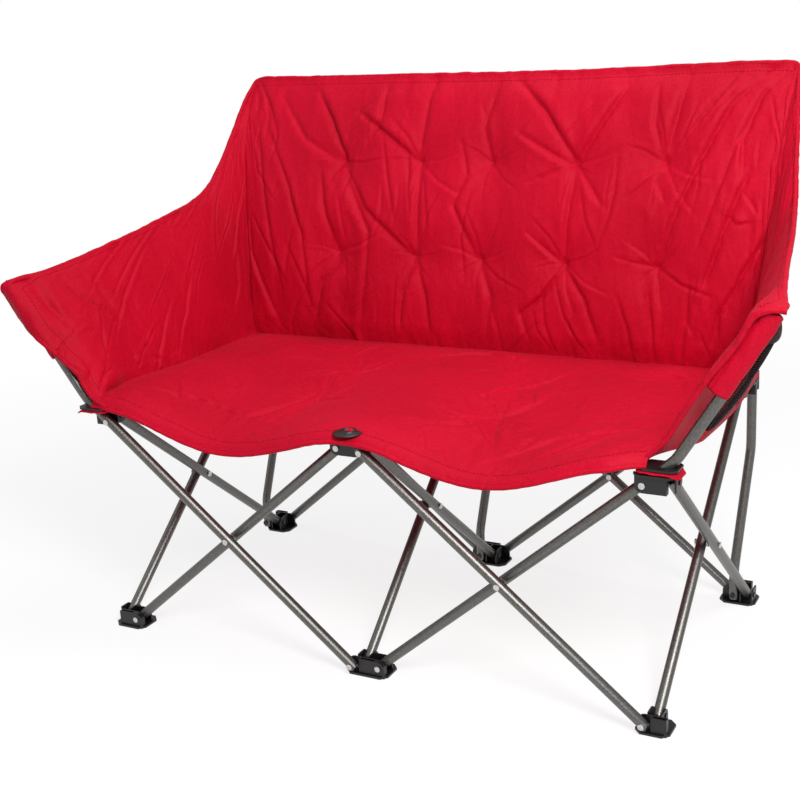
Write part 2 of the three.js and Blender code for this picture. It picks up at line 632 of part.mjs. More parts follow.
// Seat: pinched on the front hubs, hanging in a scallop across each bay
const SEAT_ROWS = [0, 0.014, 0.06, 0.13, 0.2, 0.27, 0.35, 0.43, 0.51, 0.6, 0.69, 0.77, 0.85, 0.92, 1];
const seatEdge = (x) =>
  mix(SEAT_FRONT, LEG_PLANE + R + 5, smooth((Math.abs(x) - SEAT_HALF + SEAT_CORNER) / (SEAT_CORNER * 0.7)));
function seatTop(x, y) {
  const back = (y - SEAT_FRONT) / (SEAT_REAR - SEAT_FRONT);
  const across = Math.min(Math.abs(x) / PITCH, 1);
  const hubLine = mix(SEAT_HUB_TOP, SEAT_CORNER_TOP, across ** 3);
  const scallop = Math.sin(Math.PI * across) ** 2;
  const frontLine = mix(hubLine, SEAT_REAR_TOP, smooth(back * 1.6));
  const lip = SEAT_LIP * (1 - smooth((y - SEAT_FRONT) / 9));
  const hang = FRONT_SAG * (1 - smooth(back * 1.5)) + SEAT_SAG * Math.sin(Math.PI * back);
  return frontLine - scallop * hang - lip;
}
// The padding thins out where the seat lies on a hub or a collar
function overHub(x, y) {
  const aside = Math.min(Math.abs(x), Math.abs(Math.abs(x) - PITCH)) - REACH - FLANGE;
  const along = Math.min(y - REACH - FLANGE, PITCH - REACH - FLANGE - y);
  return smooth((Math.max(aside, along) - 14) / 60);
}
function seatThickness(x, y) {
  const across = fromSeam((x + SEAT_HALF) / (2 * SEAT_HALF), 0.06);
  const back = fromSeam((y - SEAT_FRONT) / (SEAT_REAR - SEAT_FRONT), 0.14);
  const full = SEAT_EDGE + (SEAT_CROWN - SEAT_EDGE) * across * back * tuftPull(x, y, SEAT_TUFTS);
  const room = Math.max(seatTop(x, y) - HUB_TOP - 1, 1.5);
  return mix(Math.min(full, room), full, overHub(x, y));
}
const seatPoint = (u, v) => {
  const x = mix(-SEAT_HALF, SEAT_HALF, u);
  return [x, mix(seatEdge(x), SEAT_REAR, fromList(SEAT_ROWS, v))];
};
const seatSurface = (u, v) => {
  const [x, y] = seatPoint(u, v);
  return v3(x, y, seatTop(x, y));
};
const seatThicknessAt = (u, v) => seatThickness(...seatPoint(u, v));
const capStem = rod(PIN + 2 * CLEAR, [0, SEAT_CAP_Y, HUB_TOP - 9], [0, SEAT_CAP_Y, SEAT_HUB_TOP + 9]);
const seatSheet = sheet(seatSurface, () => 0, seatThicknessAt, 24, SEAT_ROWS.length - 1);
node("seat_pad", plateRooms.reduce((pad, room) => pad.subtract(room), seatSheet.subtract(capStem)), cloth);

// Plain cap that pins the seat to the middle hub
const capRest = seatTop(0, SEAT_CAP_Y) + CLEAR;
const capProfile = [[0, HUB_TOP + 0.3], [PIN, HUB_TOP + 0.3], [PIN, capRest], [SEAT_CAP, capRest]];
capProfile.push([SEAT_CAP - 1, capRest + 2], [CAP_RING + 1, capRest + 3.5], [CAP_RING, capRest + 5.5]);
capProfile.push([CAP_RING - 4, capRest + 5.5], [CAP_RING - 5, capRest + 3], [0, capRest + 3]);
const capLathe = new THREE.LatheGeometry(capProfile.map((p) => new THREE.Vector2(...p)), 12);
node("seat_cap", solidOf(capLathe), plastic, [0, SEAT_CAP_Y, 0], [Math.PI / 2, 0, 0]);

// Back: two rows of tufts, with a pocket over the top of each upright
const backHalf = (v) => mix(BACK_LOW_HALF, BACK_TOP_HALF, v);
const backFoot = SEAT_REAR_TOP + CLEAR;
const backPoint = (u, v) => {
  const z = mix(backFoot, BACK_TOP, v);
  return v3(mix(-backHalf(v), backHalf(v), u), backLine(z), z);
};
const backTufts = [];
for (const v of TUFT_ROWS) {
  for (let i = 0; i < TUFT_COLUMNS; i++) {
    const x = (i - (TUFT_COLUMNS - 1) / 2) * TUFT_PITCH;
    backTufts.push([x, v * (BACK_TOP - backFoot)]);
  }
}
const backCrown = (u, v) => {
  const seam = fromSeam(u, 0.06) * fromSeam(v, 0.12);
  const pull = tuftPull(mix(-backHalf(v), backHalf(v), u), v * (BACK_TOP - backFoot), backTufts);
  return BACK_EDGE + (BACK_CROWN - BACK_EDGE) * seam * pull;
};
let backSolid = sheet(backPoint, backCrown, () => LINING, 26, 12);
const POCKET_DROP = 40;
for (const corners of Object.values(uprights)) {
  const top = corners[4];
  const along = top.clone().sub(corners[3]).normalize();
  const mouth = top.clone().addScaledVector(along, -POCKET_DROP);
  const lid = top.clone().addScaledVector(along, PLUG_HEAD + CLEAR);
  const cover = lid.clone().addScaledVector(along, SLEEVE_WALL);
  const under = mouth.clone().addScaledVector(along, -POCKET_DROP);
  backSolid = backSolid.add(bar([mouth, cover], R + CLEAR + SLEEVE_WALL));
  backSolid = backSolid.subtract(bar([under, lid], R + CLEAR));
}
node("back_pad", backSolid, cloth);

// Arms: a padded panel from the seat's side seam to the hem, round the back at its rear edge,
// with a sleeve over the arm tube along its front edge
function armSurface(side) {
  const sign = side === "left" ? -1 : 1;
  const tip = tips[side].clone().add(v3(-sign * (R + 1), 0, 2));
  const edge = ARM_THICK + SEAM_GAP;
  const corner = v3(sign * (BACK_TOP_HALF + edge), backLine(BACK_TOP) + LINING, BACK_TOP);
  const low = v3(sign * (BACK_LOW_HALF + edge), BACK_FRONT + LINING, backFoot);
  const foot = v3(sign * (SEAT_HALF - 5), 0, 0);
  const between = ([across, along, up]) =>
    v3(mix(tip.x, corner.x, across), mix(tip.y, corner.y, along), mix(tip.z, corner.z, up));
  const hem = new THREE.CatmullRomCurve3([tip, ...HEM.map(between), corner]);
  const seam = (u) => {
    const y = mix(2, low.y, u);
    const p = foot.clone().setY(y);
    p.z = seatTop(SEAT_HALF - 5, Math.min(y, SEAT_REAR)) + edge;
    return p.lerp(low.clone().setZ(p.z), smooth((u - 0.6) / 0.4));
  };
  return (u, v) => {
    const p = seam(u).lerp(hem.getPointAt(u), v);
    const chord = mix(low.y, corner.y, v);
    const bow = backLine(mix(backFoot, BACK_TOP, v)) + LINING - chord;
    p.y += bow * smooth((u - 0.35) / 0.65);
    return p;
  };
}

for (const side of Object.keys(tips)) {
  const surface = armSurface(side);
  const crown = (u, v) => ARM_THICK + (ARM_CROWN - ARM_THICK) * fromSeam(u, 0.2) * fromSeam(v, 0.2);
  const turned = side === "left" ? surface : (u, v) => surface(1 - u, v);
  let solid = sheet(turned, crown, () => ARM_THICK, 16, 8);
  const corners = armTubes[side];
  const along = corners[2].clone().sub(corners[1]).normalize();
  const mouth = corners[1].clone().addScaledVector(along, (HUB_PIVOT + SLEEVE_UP - corners[1].z) / along.z);
  const lid = corners[2].clone().addScaledVector(along, PLUG_HEAD + CLEAR);
  const cover = lid.clone().addScaledVector(along, SLEEVE_WALL);
  solid = solid.add(bar([mouth, cover], R + CLEAR + SLEEVE_WALL));
  solid = solid.subtract(bar([corners[0], corners[1], lid], R + CLEAR));
  node(`${side}_arm_pad`, solid, cloth);

  // Mesh pocket on the outer side of the arm
  const pocket = (u, v) => {
    const bulge = 10 * Math.sin(Math.PI * u) * Math.sin((Math.PI * v) / 2);
    const out = ARM_THICK + 2 * CLEAR + POCKET_THICK + bulge;
    return offset(turned, mix(0.3, 0.7, u), mix(0.12, 0.62, v), -out);
  };
  node(`${side}_mesh_pocket`, sheet(pocket, () => POCKET_THICK, () => POCKET_THICK, 6, 4), netting);
}

// The chair's own origin: on the floor, in the middle of its outline
const outline = new THREE.Box3().setFromObject(chair);
const centre = outline.getCenter(new THREE.Vector3());
chair.position.set(-centre.x, -centre.y, 0);

export default chair;
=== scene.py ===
"""The looks of the folding camp loveseat: quilted red fabric on a folding steel frame."""
import math

import bpy
import numpy as np
from mathutils import Matrix, Vector


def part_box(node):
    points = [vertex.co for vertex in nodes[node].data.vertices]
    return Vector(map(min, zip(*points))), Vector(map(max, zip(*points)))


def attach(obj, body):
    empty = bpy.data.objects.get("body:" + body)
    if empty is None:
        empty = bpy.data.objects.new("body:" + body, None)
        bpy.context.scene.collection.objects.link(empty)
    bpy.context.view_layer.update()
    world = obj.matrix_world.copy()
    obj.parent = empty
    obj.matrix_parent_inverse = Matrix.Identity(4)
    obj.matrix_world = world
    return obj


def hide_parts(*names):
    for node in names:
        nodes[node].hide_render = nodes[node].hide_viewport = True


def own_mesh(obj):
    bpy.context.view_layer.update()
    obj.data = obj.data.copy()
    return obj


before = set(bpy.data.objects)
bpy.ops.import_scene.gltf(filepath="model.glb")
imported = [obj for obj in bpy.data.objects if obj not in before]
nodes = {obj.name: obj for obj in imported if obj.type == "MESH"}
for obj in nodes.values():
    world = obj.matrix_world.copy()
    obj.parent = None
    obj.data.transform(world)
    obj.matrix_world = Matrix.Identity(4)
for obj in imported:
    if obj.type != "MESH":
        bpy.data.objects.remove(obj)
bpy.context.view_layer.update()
scene = bpy.context.scene

# Sizes in mm, from the front row of legs (y = 0) and the floor (z = 0)
PITCH = 530
SEAT_HALF, SEAT_FRONT, SEAT_REAR = 552, -26, 534
SEAT_HUB_TOP, SEAT_CORNER_TOP, SEAT_REAR_TOP, HUB_TOP = 447, 465, 449, 436
FRONT_SAG, SEAT_SAG, SEAT_CROWN, SEAT_EDGE = 46, 12, 24, 7
BACK_FOOT, BACK_TOP = 449.4, 976
BACK_FRONT, RECLINE, BACK_CROWN, BACK_EDGE, LINING = 531, 110, 17, 4, 5
ARM_TIP, ARM_BEND, ARM_THICK, ARM_CROWN = (682, 23.9, 664), (551.1, 10.9, 456.4), 4, 8
HUB_REACH = 41
# What differs from left (-1) to right (1)
SIDES = {"left": -1, "right": 1}
FRONT_IN, REAR_IN = {-1: 24, 1: 41}, {-1: 0, 1: 9}
LOW_HALF, TOP_HALF = {-1: 546, 1: 538}, {-1: 565, 1: 577}
FRONT_REACH = {-1: 0.07, 1: 0.24}
# Front edge of each arm's fabric, from the corner of the seat to the tip
ARM_FRONT = {
    -1: [(-496, -25, 449), (-525, -24, 464), (-546, -21, 487), (-553, -24, 507), (-578, -31, 532),
         (-649, -34, 592), (-682, -36, 641), (-691, -37, 657), (-688, -37, 668), (-679, -36, 675)],
    1: [(505, 4, 456), (535, 8, 485), (562, 8, 531), (602, 8, 591), (637, 8, 638), (665, 8, 683),
        (688, 10, 692), (707, 14, 690)]}
# Hem from an arm's tip to the top corner of the back, in shares of that way
HEM = [(.19, .14, .02), (.36, .31, .07), (.52, .51, .15), (.68, .68, .24), (.75, .75, .32),
       (.81, .8, .44), (.87, .86, .61), (.95, .93, .84)]
# Tufts on the back, at x and z, and on the seat, at x and y
BACK_TUFTS = [(-325, 812), (-146, 812), (8, 813), (181, 812), (357, 815),
              (-330, 632), (-150, 630), (-6, 628), (171, 630), (355, 630)]
SEAT_TUFTS = [(-185, 195), (185, 195), (-185, 345), (185, 345)]
SEAT_FOLDS = [[(-480, 60), (-380, 90), (-270, 78)], [(-266, 75), (-225, 130), (-204, 198)],
              [(300, 430), (400, 436), (500, 400)], [(360, 460), (430, 425), (470, 350)],
              [(-430, 470), (-330, 440), (-250, 470)], [(90, 80), (150, 120), (162, 176)],
              [(250, 40), (330, 110), (450, 120)], [(-60, 420), (40, 470), (150, 440)]]
# Lines of folds on the back and arms: run from the middle of the back, and height
SHELL_FOLDS = [
    [(-395, 945), (-355, 890), (-310, 800)], [(-305, 785), (-265, 720), (-155, 630)],
    [(-290, 905), (-220, 860), (-155, 815)], [(-130, 965), (-140, 900), (-150, 820)],
    [(-145, 805), (-145, 635)], [(-145, 620), (-125, 555), (-115, 475)],
    [(-535, 880), (-495, 685), (-465, 545)], [(-500, 860), (-450, 765), (-415, 670), (-395, 530)],
    [(-375, 800), (-360, 710), (-330, 635)], [(-325, 610), (-365, 570), (-385, 495)],
    [(-315, 785), (-255, 675), (-260, 595), (-280, 465)], [(-150, 615), (-175, 560), (-185, 480)],
    [(-55, 850), (-40, 790), (-65, 730), (-15, 635)], [(-235, 955), (-240, 890), (-265, 850)],
    [(-485, 940), (-415, 855), (-330, 810)], [(-545, 690), (-540, 625), (-475, 470)],
    [(55, 960), (115, 905), (185, 815)], [(275, 950), (240, 895), (190, 815)], [(185, 805), (170, 640)],
    [(65, 865), (175, 810)], [(90, 775), (175, 810)], [(170, 625), (215, 565), (245, 480)],
    [(170, 625), (130, 565), (85, 530)], [(390, 970), (360, 820)], [(335, 945), (335, 880), (355, 820)],
    [(360, 805), (345, 780), (365, 745)], [(350, 800), (290, 750)], [(355, 625), (365, 560)],
    [(355, 635), (385, 720)], [(535, 975), (475, 915), (430, 825), (360, 670)],
    [(480, 970), (430, 905), (385, 840)], [(195, 800), (245, 735)], [(80, 545), (105, 470)],
    [(350, 630), (275, 645)], [(165, 630), (95, 685)], [(10, 940), (-10, 880), (5, 820)],
    [(-5, 620), (20, 560), (10, 480)], [(575, 975), (525, 930), (490, 850), (425, 650)],
    [(550, 985), (480, 945), (395, 845)], [(530, 935), (500, 855), (505, 790)], [(505, 770), (540, 730)],
    [(520, 805), (500, 760), (480, 700)], [(550, 905), (585, 850)], [(560, 805), (565, 775), (570, 715)],
    [(530, 850), (530, 805)], [(485, 725), (500, 710), (530, 715)], [(570, 855), (560, 805)],
    [(435, 620), (425, 565)], [(485, 720), (445, 595)], [(565, 700), (515, 625), (490, 555)],
    [(420, 610), (415, 545), (405, 465)], [(440, 520), (460, 470)], [(445, 590), (430, 535)],
    [(500, 595), (475, 550), (465, 495)], [(520, 605), (510, 560)], [(415, 540), (430, 510), (425, 480)],
    [(-1285, 655), (-1185, 605), (-1130, 575)], [(-1200, 650), (-1055, 585), (-1010, 560)],
    [(-1115, 645), (-1015, 580), (-990, 560)], [(-1280, 630), (-1230, 585)], [(-1140, 565), (-1165, 545)],
    [(-1055, 550), (-1040, 530), (-1045, 515)], [(-1105, 465), (-1070, 490), (-1035, 495)],
    [(-955, 505), (-930, 460)], [(-1170, 535), (-1125, 510), (-1105, 475)], [(-895, 485), (-870, 460)],
    [(-805, 470), (-815, 450)]]
FOOT_REACH = 0.013
FRONT_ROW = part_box("front_center_foot")[0].y + FOOT_REACH


def metres(points):
    """Points in mm moved into the frame."""
    out = np.array(points, float) / 1000
    out[..., 1] += FRONT_ROW
    return out


def smooth(t):
    t = np.clip(t, 0, 1)
    return t * t * (3 - 2 * t)


def ease(value, start, over):
    """0 up to the start, rising to 1 over the given way."""
    return smooth((value - start) / over)


def mix(a, b, t):
    return a + (b - a) * t


def from_seam(share, width):
    """0 at both ends of a panel, 1 from the given share inwards."""
    return smooth(np.minimum(share, 1 - share) / width)


def waves(a, b, seed):
    """Smooth noise on a plane, from about -1 to 1."""
    table = np.random.default_rng(seed).uniform(-1, 1, (61, 61))
    i, j = np.floor(a).astype(int), np.floor(b).astype(int)
    low = mix(table[i % 61, j % 61], table[(i + 1) % 61, j % 61], smooth(a - i))
    high = mix(table[i % 61, (j + 1) % 61], table[(i + 1) % 61, (j + 1) % 61], smooth(a - i))
    return mix(low, high, smooth(b - j))


def facing(skin):
    """Unit normals of a grid of points."""
    n = np.cross(np.gradient(skin, axis=1), np.gradient(skin, axis=0))
    return n / np.maximum(np.linalg.norm(n, axis=-1, keepdims=True), 1e-9)


def run_along(line):
    """How far along a line each of its points is."""
    return np.append(0, np.cumsum(np.linalg.norm(np.diff(line, axis=0), axis=1)))


def read_line(at, run, line):
    """Points of a line at some places along its run."""
    return np.stack([np.interp(at, run, line[:, k]) for k in range(3)], -1)


def along_line(points, count):
    """Points at even steps along a smooth curve through the given ones."""
    p = np.array(points, float)
    p = np.vstack([2 * p[0] - p[1], p, 2 * p[-1] - p[-2]])
    parts = []
    for p0, p1, p2, p3 in zip(p, p[1:], p[2:], p[3:]):
        d0, d1, d2 = (np.linalg.norm(b - a) ** 0.5 for a, b in ((p0, p1), (p1, p2), (p2, p3)))
        t1 = ((p1 - p0) / d0 - (p2 - p0) / (d0 + d1) + (p2 - p1) / d1) * d1
        t2 = ((p2 - p1) / d1 - (p3 - p1) / (d1 + d2) + (p3 - p2) / d2) * d1
        w = np.linspace(0, 1, 40)[:, None]
        square, cube = 3 * (p2 - p1) - 2 * t1 - t2, 2 * (p1 - p2) + t1 + t2
        parts.append(p1 + t1 * w + square * w**2 + cube * w**3)
    line = np.vstack(parts)
    run = run_along(line)
    return read_line(np.linspace(0, run[-1], count), run, line)


# Materials
def material(name):
    made = bpy.data.materials.new(name)
    made.use_nodes = True
    tree = made.node_tree
    return made, tree, tree.nodes["Principled BSDF"]


def settle(tree, made, links=(), **values):
    """Sets a node's own values and those of its sockets, and links what feeds it."""
    for key, value in values.items():
        if hasattr(made, key):
            setattr(made, key, value)
        else:
            made.inputs[key.replace("_", " ")].default_value = value
    for socket, source in links:
        tree.links.new(source, made.inputs[socket])
    return made


def node(tree, kind, links=(), **values):
    return settle(tree, tree.nodes.new(kind), links, **values)


def maths(tree, operation, first, second=None):
    """The result of a sum on a socket and, where it takes one, a second socket or a plain value."""
    vector = first.type == "VECTOR"
    kind = "ShaderNodeVectorMath" if vector else "ShaderNodeMath"
    made = node(tree, kind, [(0, first)], operation=operation)
    if isinstance(second, bpy.types.NodeSocket):
        tree.links.new(second, made.inputs[1])
    elif second is not None:
        made.inputs[1].default_value = second
    return made.outputs["Vector" if vector and operation == "MULTIPLY" else "Value"]


def ranged(tree, value, low, high, start=0.0, end=1.0):
    """A value from start to end, moved to run from low to high."""
    ends = dict(From_Min=start, From_Max=end, To_Min=low, To_Max=high)
    return node(tree, "ShaderNodeMapRange", [("Value", value)], **ends)


def colour_ramp(tree, source, stops):
    ramp = node(tree, "ShaderNodeValToRGB", [("Fac", source)])
    while len(ramp.color_ramp.elements) < len(stops):
        ramp.color_ramp.elements.new(0.5)
    for element, (at, colour) in zip(ramp.color_ramp.elements, stops):
        element.position = at
        element.color = (*colour, 1)
    return ramp.outputs["Color"]


def bump(tree, height, distance, below=None, strength=1.0):
    links = [("Height", height)] + ([("Normal", below)] if below else [])
    return node(tree, "ShaderNodeBump", links, Strength=strength, Distance=distance).outputs["Normal"]


THREAD_PITCH = 0.0015


def fabric_material(name, dark, mid, light, sheen):
    made, tree, shader = material(name)
    place = node(tree, "ShaderNodeTexCoord").outputs["Object"]
    broad = node(tree, "ShaderNodeTexNoise", [("Vector", place)], Scale=4.5, Detail=3.0).outputs["Fac"]
    fine = node(tree, "ShaderNodeTexNoise", [("Vector", place)], Scale=260.0, Detail=2.0).outputs["Fac"]
    cloud = maths(tree, "MULTIPLY", maths(tree, "ADD", broad, fine), 0.5)
    tint = colour_ramp(tree, cloud, [(0.34, dark), (0.5, mid), (0.66, light)])
    threads = []
    for axis in ((1, 1, 0), (0, -1, 1)):
        turns = maths(tree, "MULTIPLY", maths(tree, "DOT_PRODUCT", place, axis), 2 * math.pi / THREAD_PITCH)
        threads.append(maths(tree, "SINE", turns))
    weave = maths(tree, "MULTIPLY", *threads)
    drawn = maths(tree, "MULTIPLY", place, (1.0, 0.8, 0.3))
    crumple = node(tree, "ShaderNodeTexNoise", [("Vector", drawn)], Scale=38.0, Detail=3.0, Distortion=0.8)
    normal = bump(tree, crumple.outputs["Fac"], 0.004, strength=0.55)
    normal = bump(tree, weave, 0.00012, below=normal, strength=0.5)
    rough = ranged(tree, fine, 0.5, 0.64).outputs[0]
    settle(tree, shader, [("Base Color", tint), ("Normal", normal), ("Roughness", rough)],
           Specular_IOR_Level=0.11, Sheen_Weight=sheen, Sheen_Roughness=0.4, Sheen_Tint=(1, 0.25, 0.34, 1))
    return made


def steel_material(name, dark, light, grain, depth, roughness):
    made, tree, shader = material(name)
    place = node(tree, "ShaderNodeTexCoord").outputs["Object"]
    cells = node(tree, "ShaderNodeTexVoronoi", [("Vector", place)], Scale=grain, feature="SMOOTH_F1")
    cloud = node(tree, "ShaderNodeTexNoise", [("Vector", place)], Scale=grain / 3, Detail=4.0)
    tint = colour_ramp(tree, cloud.outputs["Fac"], [(0.35, dark), (0.65, light)])
    normal = bump(tree, cells.outputs["Distance"], depth, strength=0.5)
    rough = ranged(tree, cloud.outputs["Fac"], roughness - 0.08, roughness + 0.1).outputs[0]
    settle(tree, shader, [("Base Color", tint), ("Normal", normal), ("Roughness", rough)], Metallic=0.9)
    return made


def plastic_material(name, dark, light, roughness):
    made, tree, shader = material(name)
    place = node(tree, "ShaderNodeTexCoord").outputs["Object"]
    grain = node(tree, "ShaderNodeTexNoise", [("Vector", place)], Scale=900.0, Detail=2.0)
    cloud = node(tree, "ShaderNodeTexNoise", [("Vector", place)], Scale=40.0, Detail=5.0)
    tint = colour_ramp(tree, cloud.outputs["Fac"], [(0.35, dark), (0.72, light)])
    normal = bump(tree, grain.outputs["Fac"], 0.0003, strength=0.5)
    rough = ranged(tree, cloud.outputs["Fac"], roughness - 0.1, roughness + 0.12).outputs[0]
    settle(tree, shader, [("Base Color", tint), ("Normal", normal), ("Roughness", rough)])
    return made


red = fabric_material("red_polyester", dark=(0.45, 0.0012, 0.016), mid=(0.53, 0.0016, 0.021),
                      light=(0.61, 0.0022, 0.026), sheen=0.08)
thread = fabric_material("red_thread", dark=(0.36, 0.001, 0.012), mid=(0.44, 0.002, 0.016),
                         light=(0.52, 0.004, 0.022), sheen=0.05)
tape = fabric_material("black_tape", dark=(0.008, 0.008, 0.009), mid=(0.014, 0.014, 0.015),
                       light=(0.022, 0.022, 0.024), sheen=0.1)
tube_steel = steel_material("hammertone_steel", dark=(0.12, 0.115, 0.108), light=(0.17, 0.164, 0.155),
                            grain=900.0, depth=0.0002, roughness=0.37)
rivet_steel = steel_material("rivet_steel", dark=(0.5, 0.5, 0.5), light=(0.66, 0.66, 0.65),
                             grain=700.0, depth=0.0001, roughness=0.26)
plastic = plastic_material("black_plastic", dark=(0.004, 0.004, 0.0045), light=(0.009, 0.009, 0.0095),
                           roughness=0.4)


# Meshes
def link(name, points, faces, finish, smooth_faces=True, normals=None):
    """A new object in the scene, from points in metres."""
    mesh = bpy.data.meshes.new(name)
    mesh.from_pydata(np.asarray(points).tolist(), [], [list(f) for f in faces])
    mesh.polygons.foreach_set("use_smooth", [smooth_faces] * len(mesh.polygons))
    if normals is not None:
        mesh.normals_split_custom_set_from_vertices(np.asarray(normals).tolist())
    mesh.materials.append(finish)
    made = bpy.data.objects.new(name, mesh)
    scene.collection.objects.link(made)
    return made


def finer(skin):
    """The grid with a point added between every two, on a smooth curve."""
    for _ in range(2):
        p = np.concatenate([2 * skin[:1] - skin[1:2], skin, 2 * skin[-1:] - skin[-2:-1]])
        out = np.empty((2 * len(skin) - 1, *skin.shape[1:]))
        out[::2] = skin
        out[1::2] = (9 * (p[1:-2] + p[2:-1]) - p[:-3] - p[3:]) / 16
        skin = out.swapaxes(0, 1)
    return skin


def quads(index):
    """The four corners of each cell of a grid of point numbers."""
    return np.stack([index[:-1, :-1], index[:-1, 1:], index[1:, 1:], index[1:, :-1]], -1)


def closed(front, rear):
    """One closed mesh from a fine front skin and a rear skin with half as many points each way."""
    rows, columns = front.shape[:2]
    near = np.arange(rows * columns).reshape(rows, columns)
    far = np.arange(rear.shape[0] * rear.shape[1]).reshape(rear.shape[:2]) + rows * columns
    faces, cells = [], []
    for index, turn, scale in ((near, 1, 0.5), (far, -1, 1)):
        face = quads(index)
        faces += face[..., ::turn].reshape(-1, 4).tolist()
        cells += (np.stack(np.mgrid[0:face.shape[0], 0:face.shape[1]], -1).reshape(-1, 2) * scale).tolist()
    last_row, last_column = rear.shape[0] - 1, rear.shape[1] - 1
    for edge, low, at in ((near[0], far[0], lambda k: (0, k)),
                          (near[:, -1], far[:, -1], lambda k: (k, last_column - 1)),
                          (near[-1, ::-1], far[-1, ::-1], lambda k: (last_row - 1, last_column - 1 - k)),
                          (near[::-1, 0], far[::-1, 0], lambda k: (last_row - 1 - k, 0))):
        for k in range(len(low) - 1):
            faces.append([edge[2 * k + 2], edge[2 * k + 1], edge[2 * k], low[k], low[k + 1]])
            cells.append(at(k))
    return np.vstack([front.reshape(-1, 3), rear.reshape(-1, 3)]), faces, np.array(cells)


def loft(rings, looped=False):
    """Points and faces of a tube through rings of points: capped at its ends, or closed into a loop."""
    count, sides = rings.shape[:2]
    points = rings.reshape(-1, 3)
    faces = []
    for i in range(count if looped else count - 1):
        after = (i + 1) % count
        for j in range(sides):
            k = (j + 1) % sides
            faces.append([i * sides + j, i * sides + k, after * sides + k, after * sides + j])
    if not looped:
        points = np.vstack([points, rings[0].mean(0), rings[-1].mean(0)])
        low, high = count * sides, count * sides + 1
        faces += [[low, (j + 1) % sides, j] for j in range(sides)]
        last = (count - 1) * sides
        faces += [[high, last + j, last + (j + 1) % sides] for j in range(sides)]
    return points, faces


def rings_on(line, radius, sides, wide=1.0):
    """Rings square to a line: radius is a number, or one for each point."""
    line = np.asarray(line, float)
    ahead = np.gradient(line, axis=0)
    ahead /= np.linalg.norm(ahead, axis=1, keepdims=True)
    side = np.cross(ahead[0], (0.3, 0.2, 1.0))
    turn = np.linspace(0, 2 * np.pi, sides, endpoint=False)
    radius = np.broadcast_to(radius, len(line))
    out = []
    for p, a, r in zip(line, ahead, radius):
        side = side - a * (side @ a)
        side /= np.linalg.norm(side)
        up = np.cross(a, side)
        out.append(p + r * (wide * np.cos(turn)[:, None] * side + np.sin(turn)[:, None] * up))
    return np.array(out)


def form(name, mesh, finish, **more):
    """A new object from points in mm and faces."""
    return link(name, metres(mesh[0]), mesh[1], finish, **more)


def tube(name, line, radius, sides, finish, wide=1.0):
    return form(name, loft(rings_on(line, radius, sides, wide)), finish)


def joined(parts):
    """Points and faces of several meshes as one."""
    points, faces = [], []
    for part_points, part_faces in parts:
        faces += [[i + len(points) for i in face] for face in part_faces]
        points += part_points.tolist()
    return points, faces


def swell(name, skin, pinned, slack, pressure, cap, frames=34):
    """Cloth run on one skin: it is held at its pins, has spare width, and is blown up a little."""
    rows, columns = skin.shape[:2]
    index = np.arange(rows * columns).reshape(rows, columns)
    start = metres(skin).reshape(-1, 3)
    obj = link(name, start, quads(index).reshape(-1, 4), red)
    obj.shape_key_add(name="Basis")
    rest = obj.shape_key_add(name="rest")
    rest.data.foreach_set("co", (start * np.array(slack)).ravel())
    pins = obj.vertex_groups.new(name="pins")
    pins.add(np.flatnonzero(pinned.ravel()).tolist(), 1.0, "REPLACE")
    cloth = obj.modifiers.new("cloth", "CLOTH")
    s = cloth.settings
    s.quality, s.mass, s.time_scale = 7, 0.1, 1.0
    s.tension_stiffness = s.compression_stiffness = 40
    s.shear_stiffness, s.bending_stiffness = 8, 0.03
    s.tension_damping = s.compression_damping = 5
    s.air_damping = 1
    s.vertex_group_mass, s.rest_shape_key = "pins", rest
    s.effector_weights.gravity = 0
    s.use_pressure, s.uniform_pressure_force = True, pressure
    cloth.collision_settings.use_collision = False
    cloth.collision_settings.use_self_collision = False
    cloth.point_cache.frame_start, cloth.point_cache.frame_end = 1, frames
    for f in range(1, frames + 1):
        scene.frame_set(f)
    view = bpy.context.evaluated_depsgraph_get()
    mesh = obj.evaluated_get(view).to_mesh()
    co = np.zeros(len(mesh.vertices) * 3, np.float32)
    mesh.vertices.foreach_get("co", co)
    scene.frame_set(1)
    bpy.data.objects.remove(obj)
    move = co.reshape(-1, 3).astype(float) - start
    far = np.linalg.norm(move, axis=1, keepdims=True)
    move *= np.minimum(1, cap / 1000 / np.maximum(far, 1e-9))
    return skin + 1000 * move.reshape(skin.shape)


# Seat
FRONT_DRAWN, REAR_DRAWN = (8, 127), (330, 150)
EDGE_RIGHT, EDGE_LIP, CORNER_LIP = -6, 11, 14
SEAT_RISE, SEAT_TUFT, SEAT_PIN = 9, 46, 7


def seat_half(sign, y):
    """Half the seat's width: it draws in at the front, clear of the arm tube, and at the right rear."""
    front = FRONT_IN[sign] * (1 - ease(y, *FRONT_DRAWN))
    rear = REAR_IN[sign] * ease(y, *REAR_DRAWN)
    return SEAT_HALF - front - rear


def seat_edge(x):
    """The front edge, which steps back at the right corner."""
    return mix(SEAT_FRONT, EDGE_RIGHT, ease(x, 480, 70))


def seat_top(x, y):
    """Height of the seat's seam line: it hangs from the hubs in two bays."""
    back = (y - SEAT_FRONT) / (SEAT_REAR - SEAT_FRONT)
    across = np.minimum(np.abs(x) / PITCH, 1)
    hub_line = mix(SEAT_HUB_TOP, SEAT_CORNER_TOP, across**3)
    front_line = mix(hub_line, SEAT_REAR_TOP, smooth(back * 1.6))
    hang = FRONT_SAG * (1 - smooth(back * 1.5)) + SEAT_SAG * np.sin(np.pi * np.clip(back, 0, 1))
    lip = mix(EDGE_LIP, CORNER_LIP, ease(np.abs(x), 430, 80)) * (1 - ease(y, seat_edge(x), 11))
    return front_line - np.sin(np.pi * across) ** 2 * hang - lip


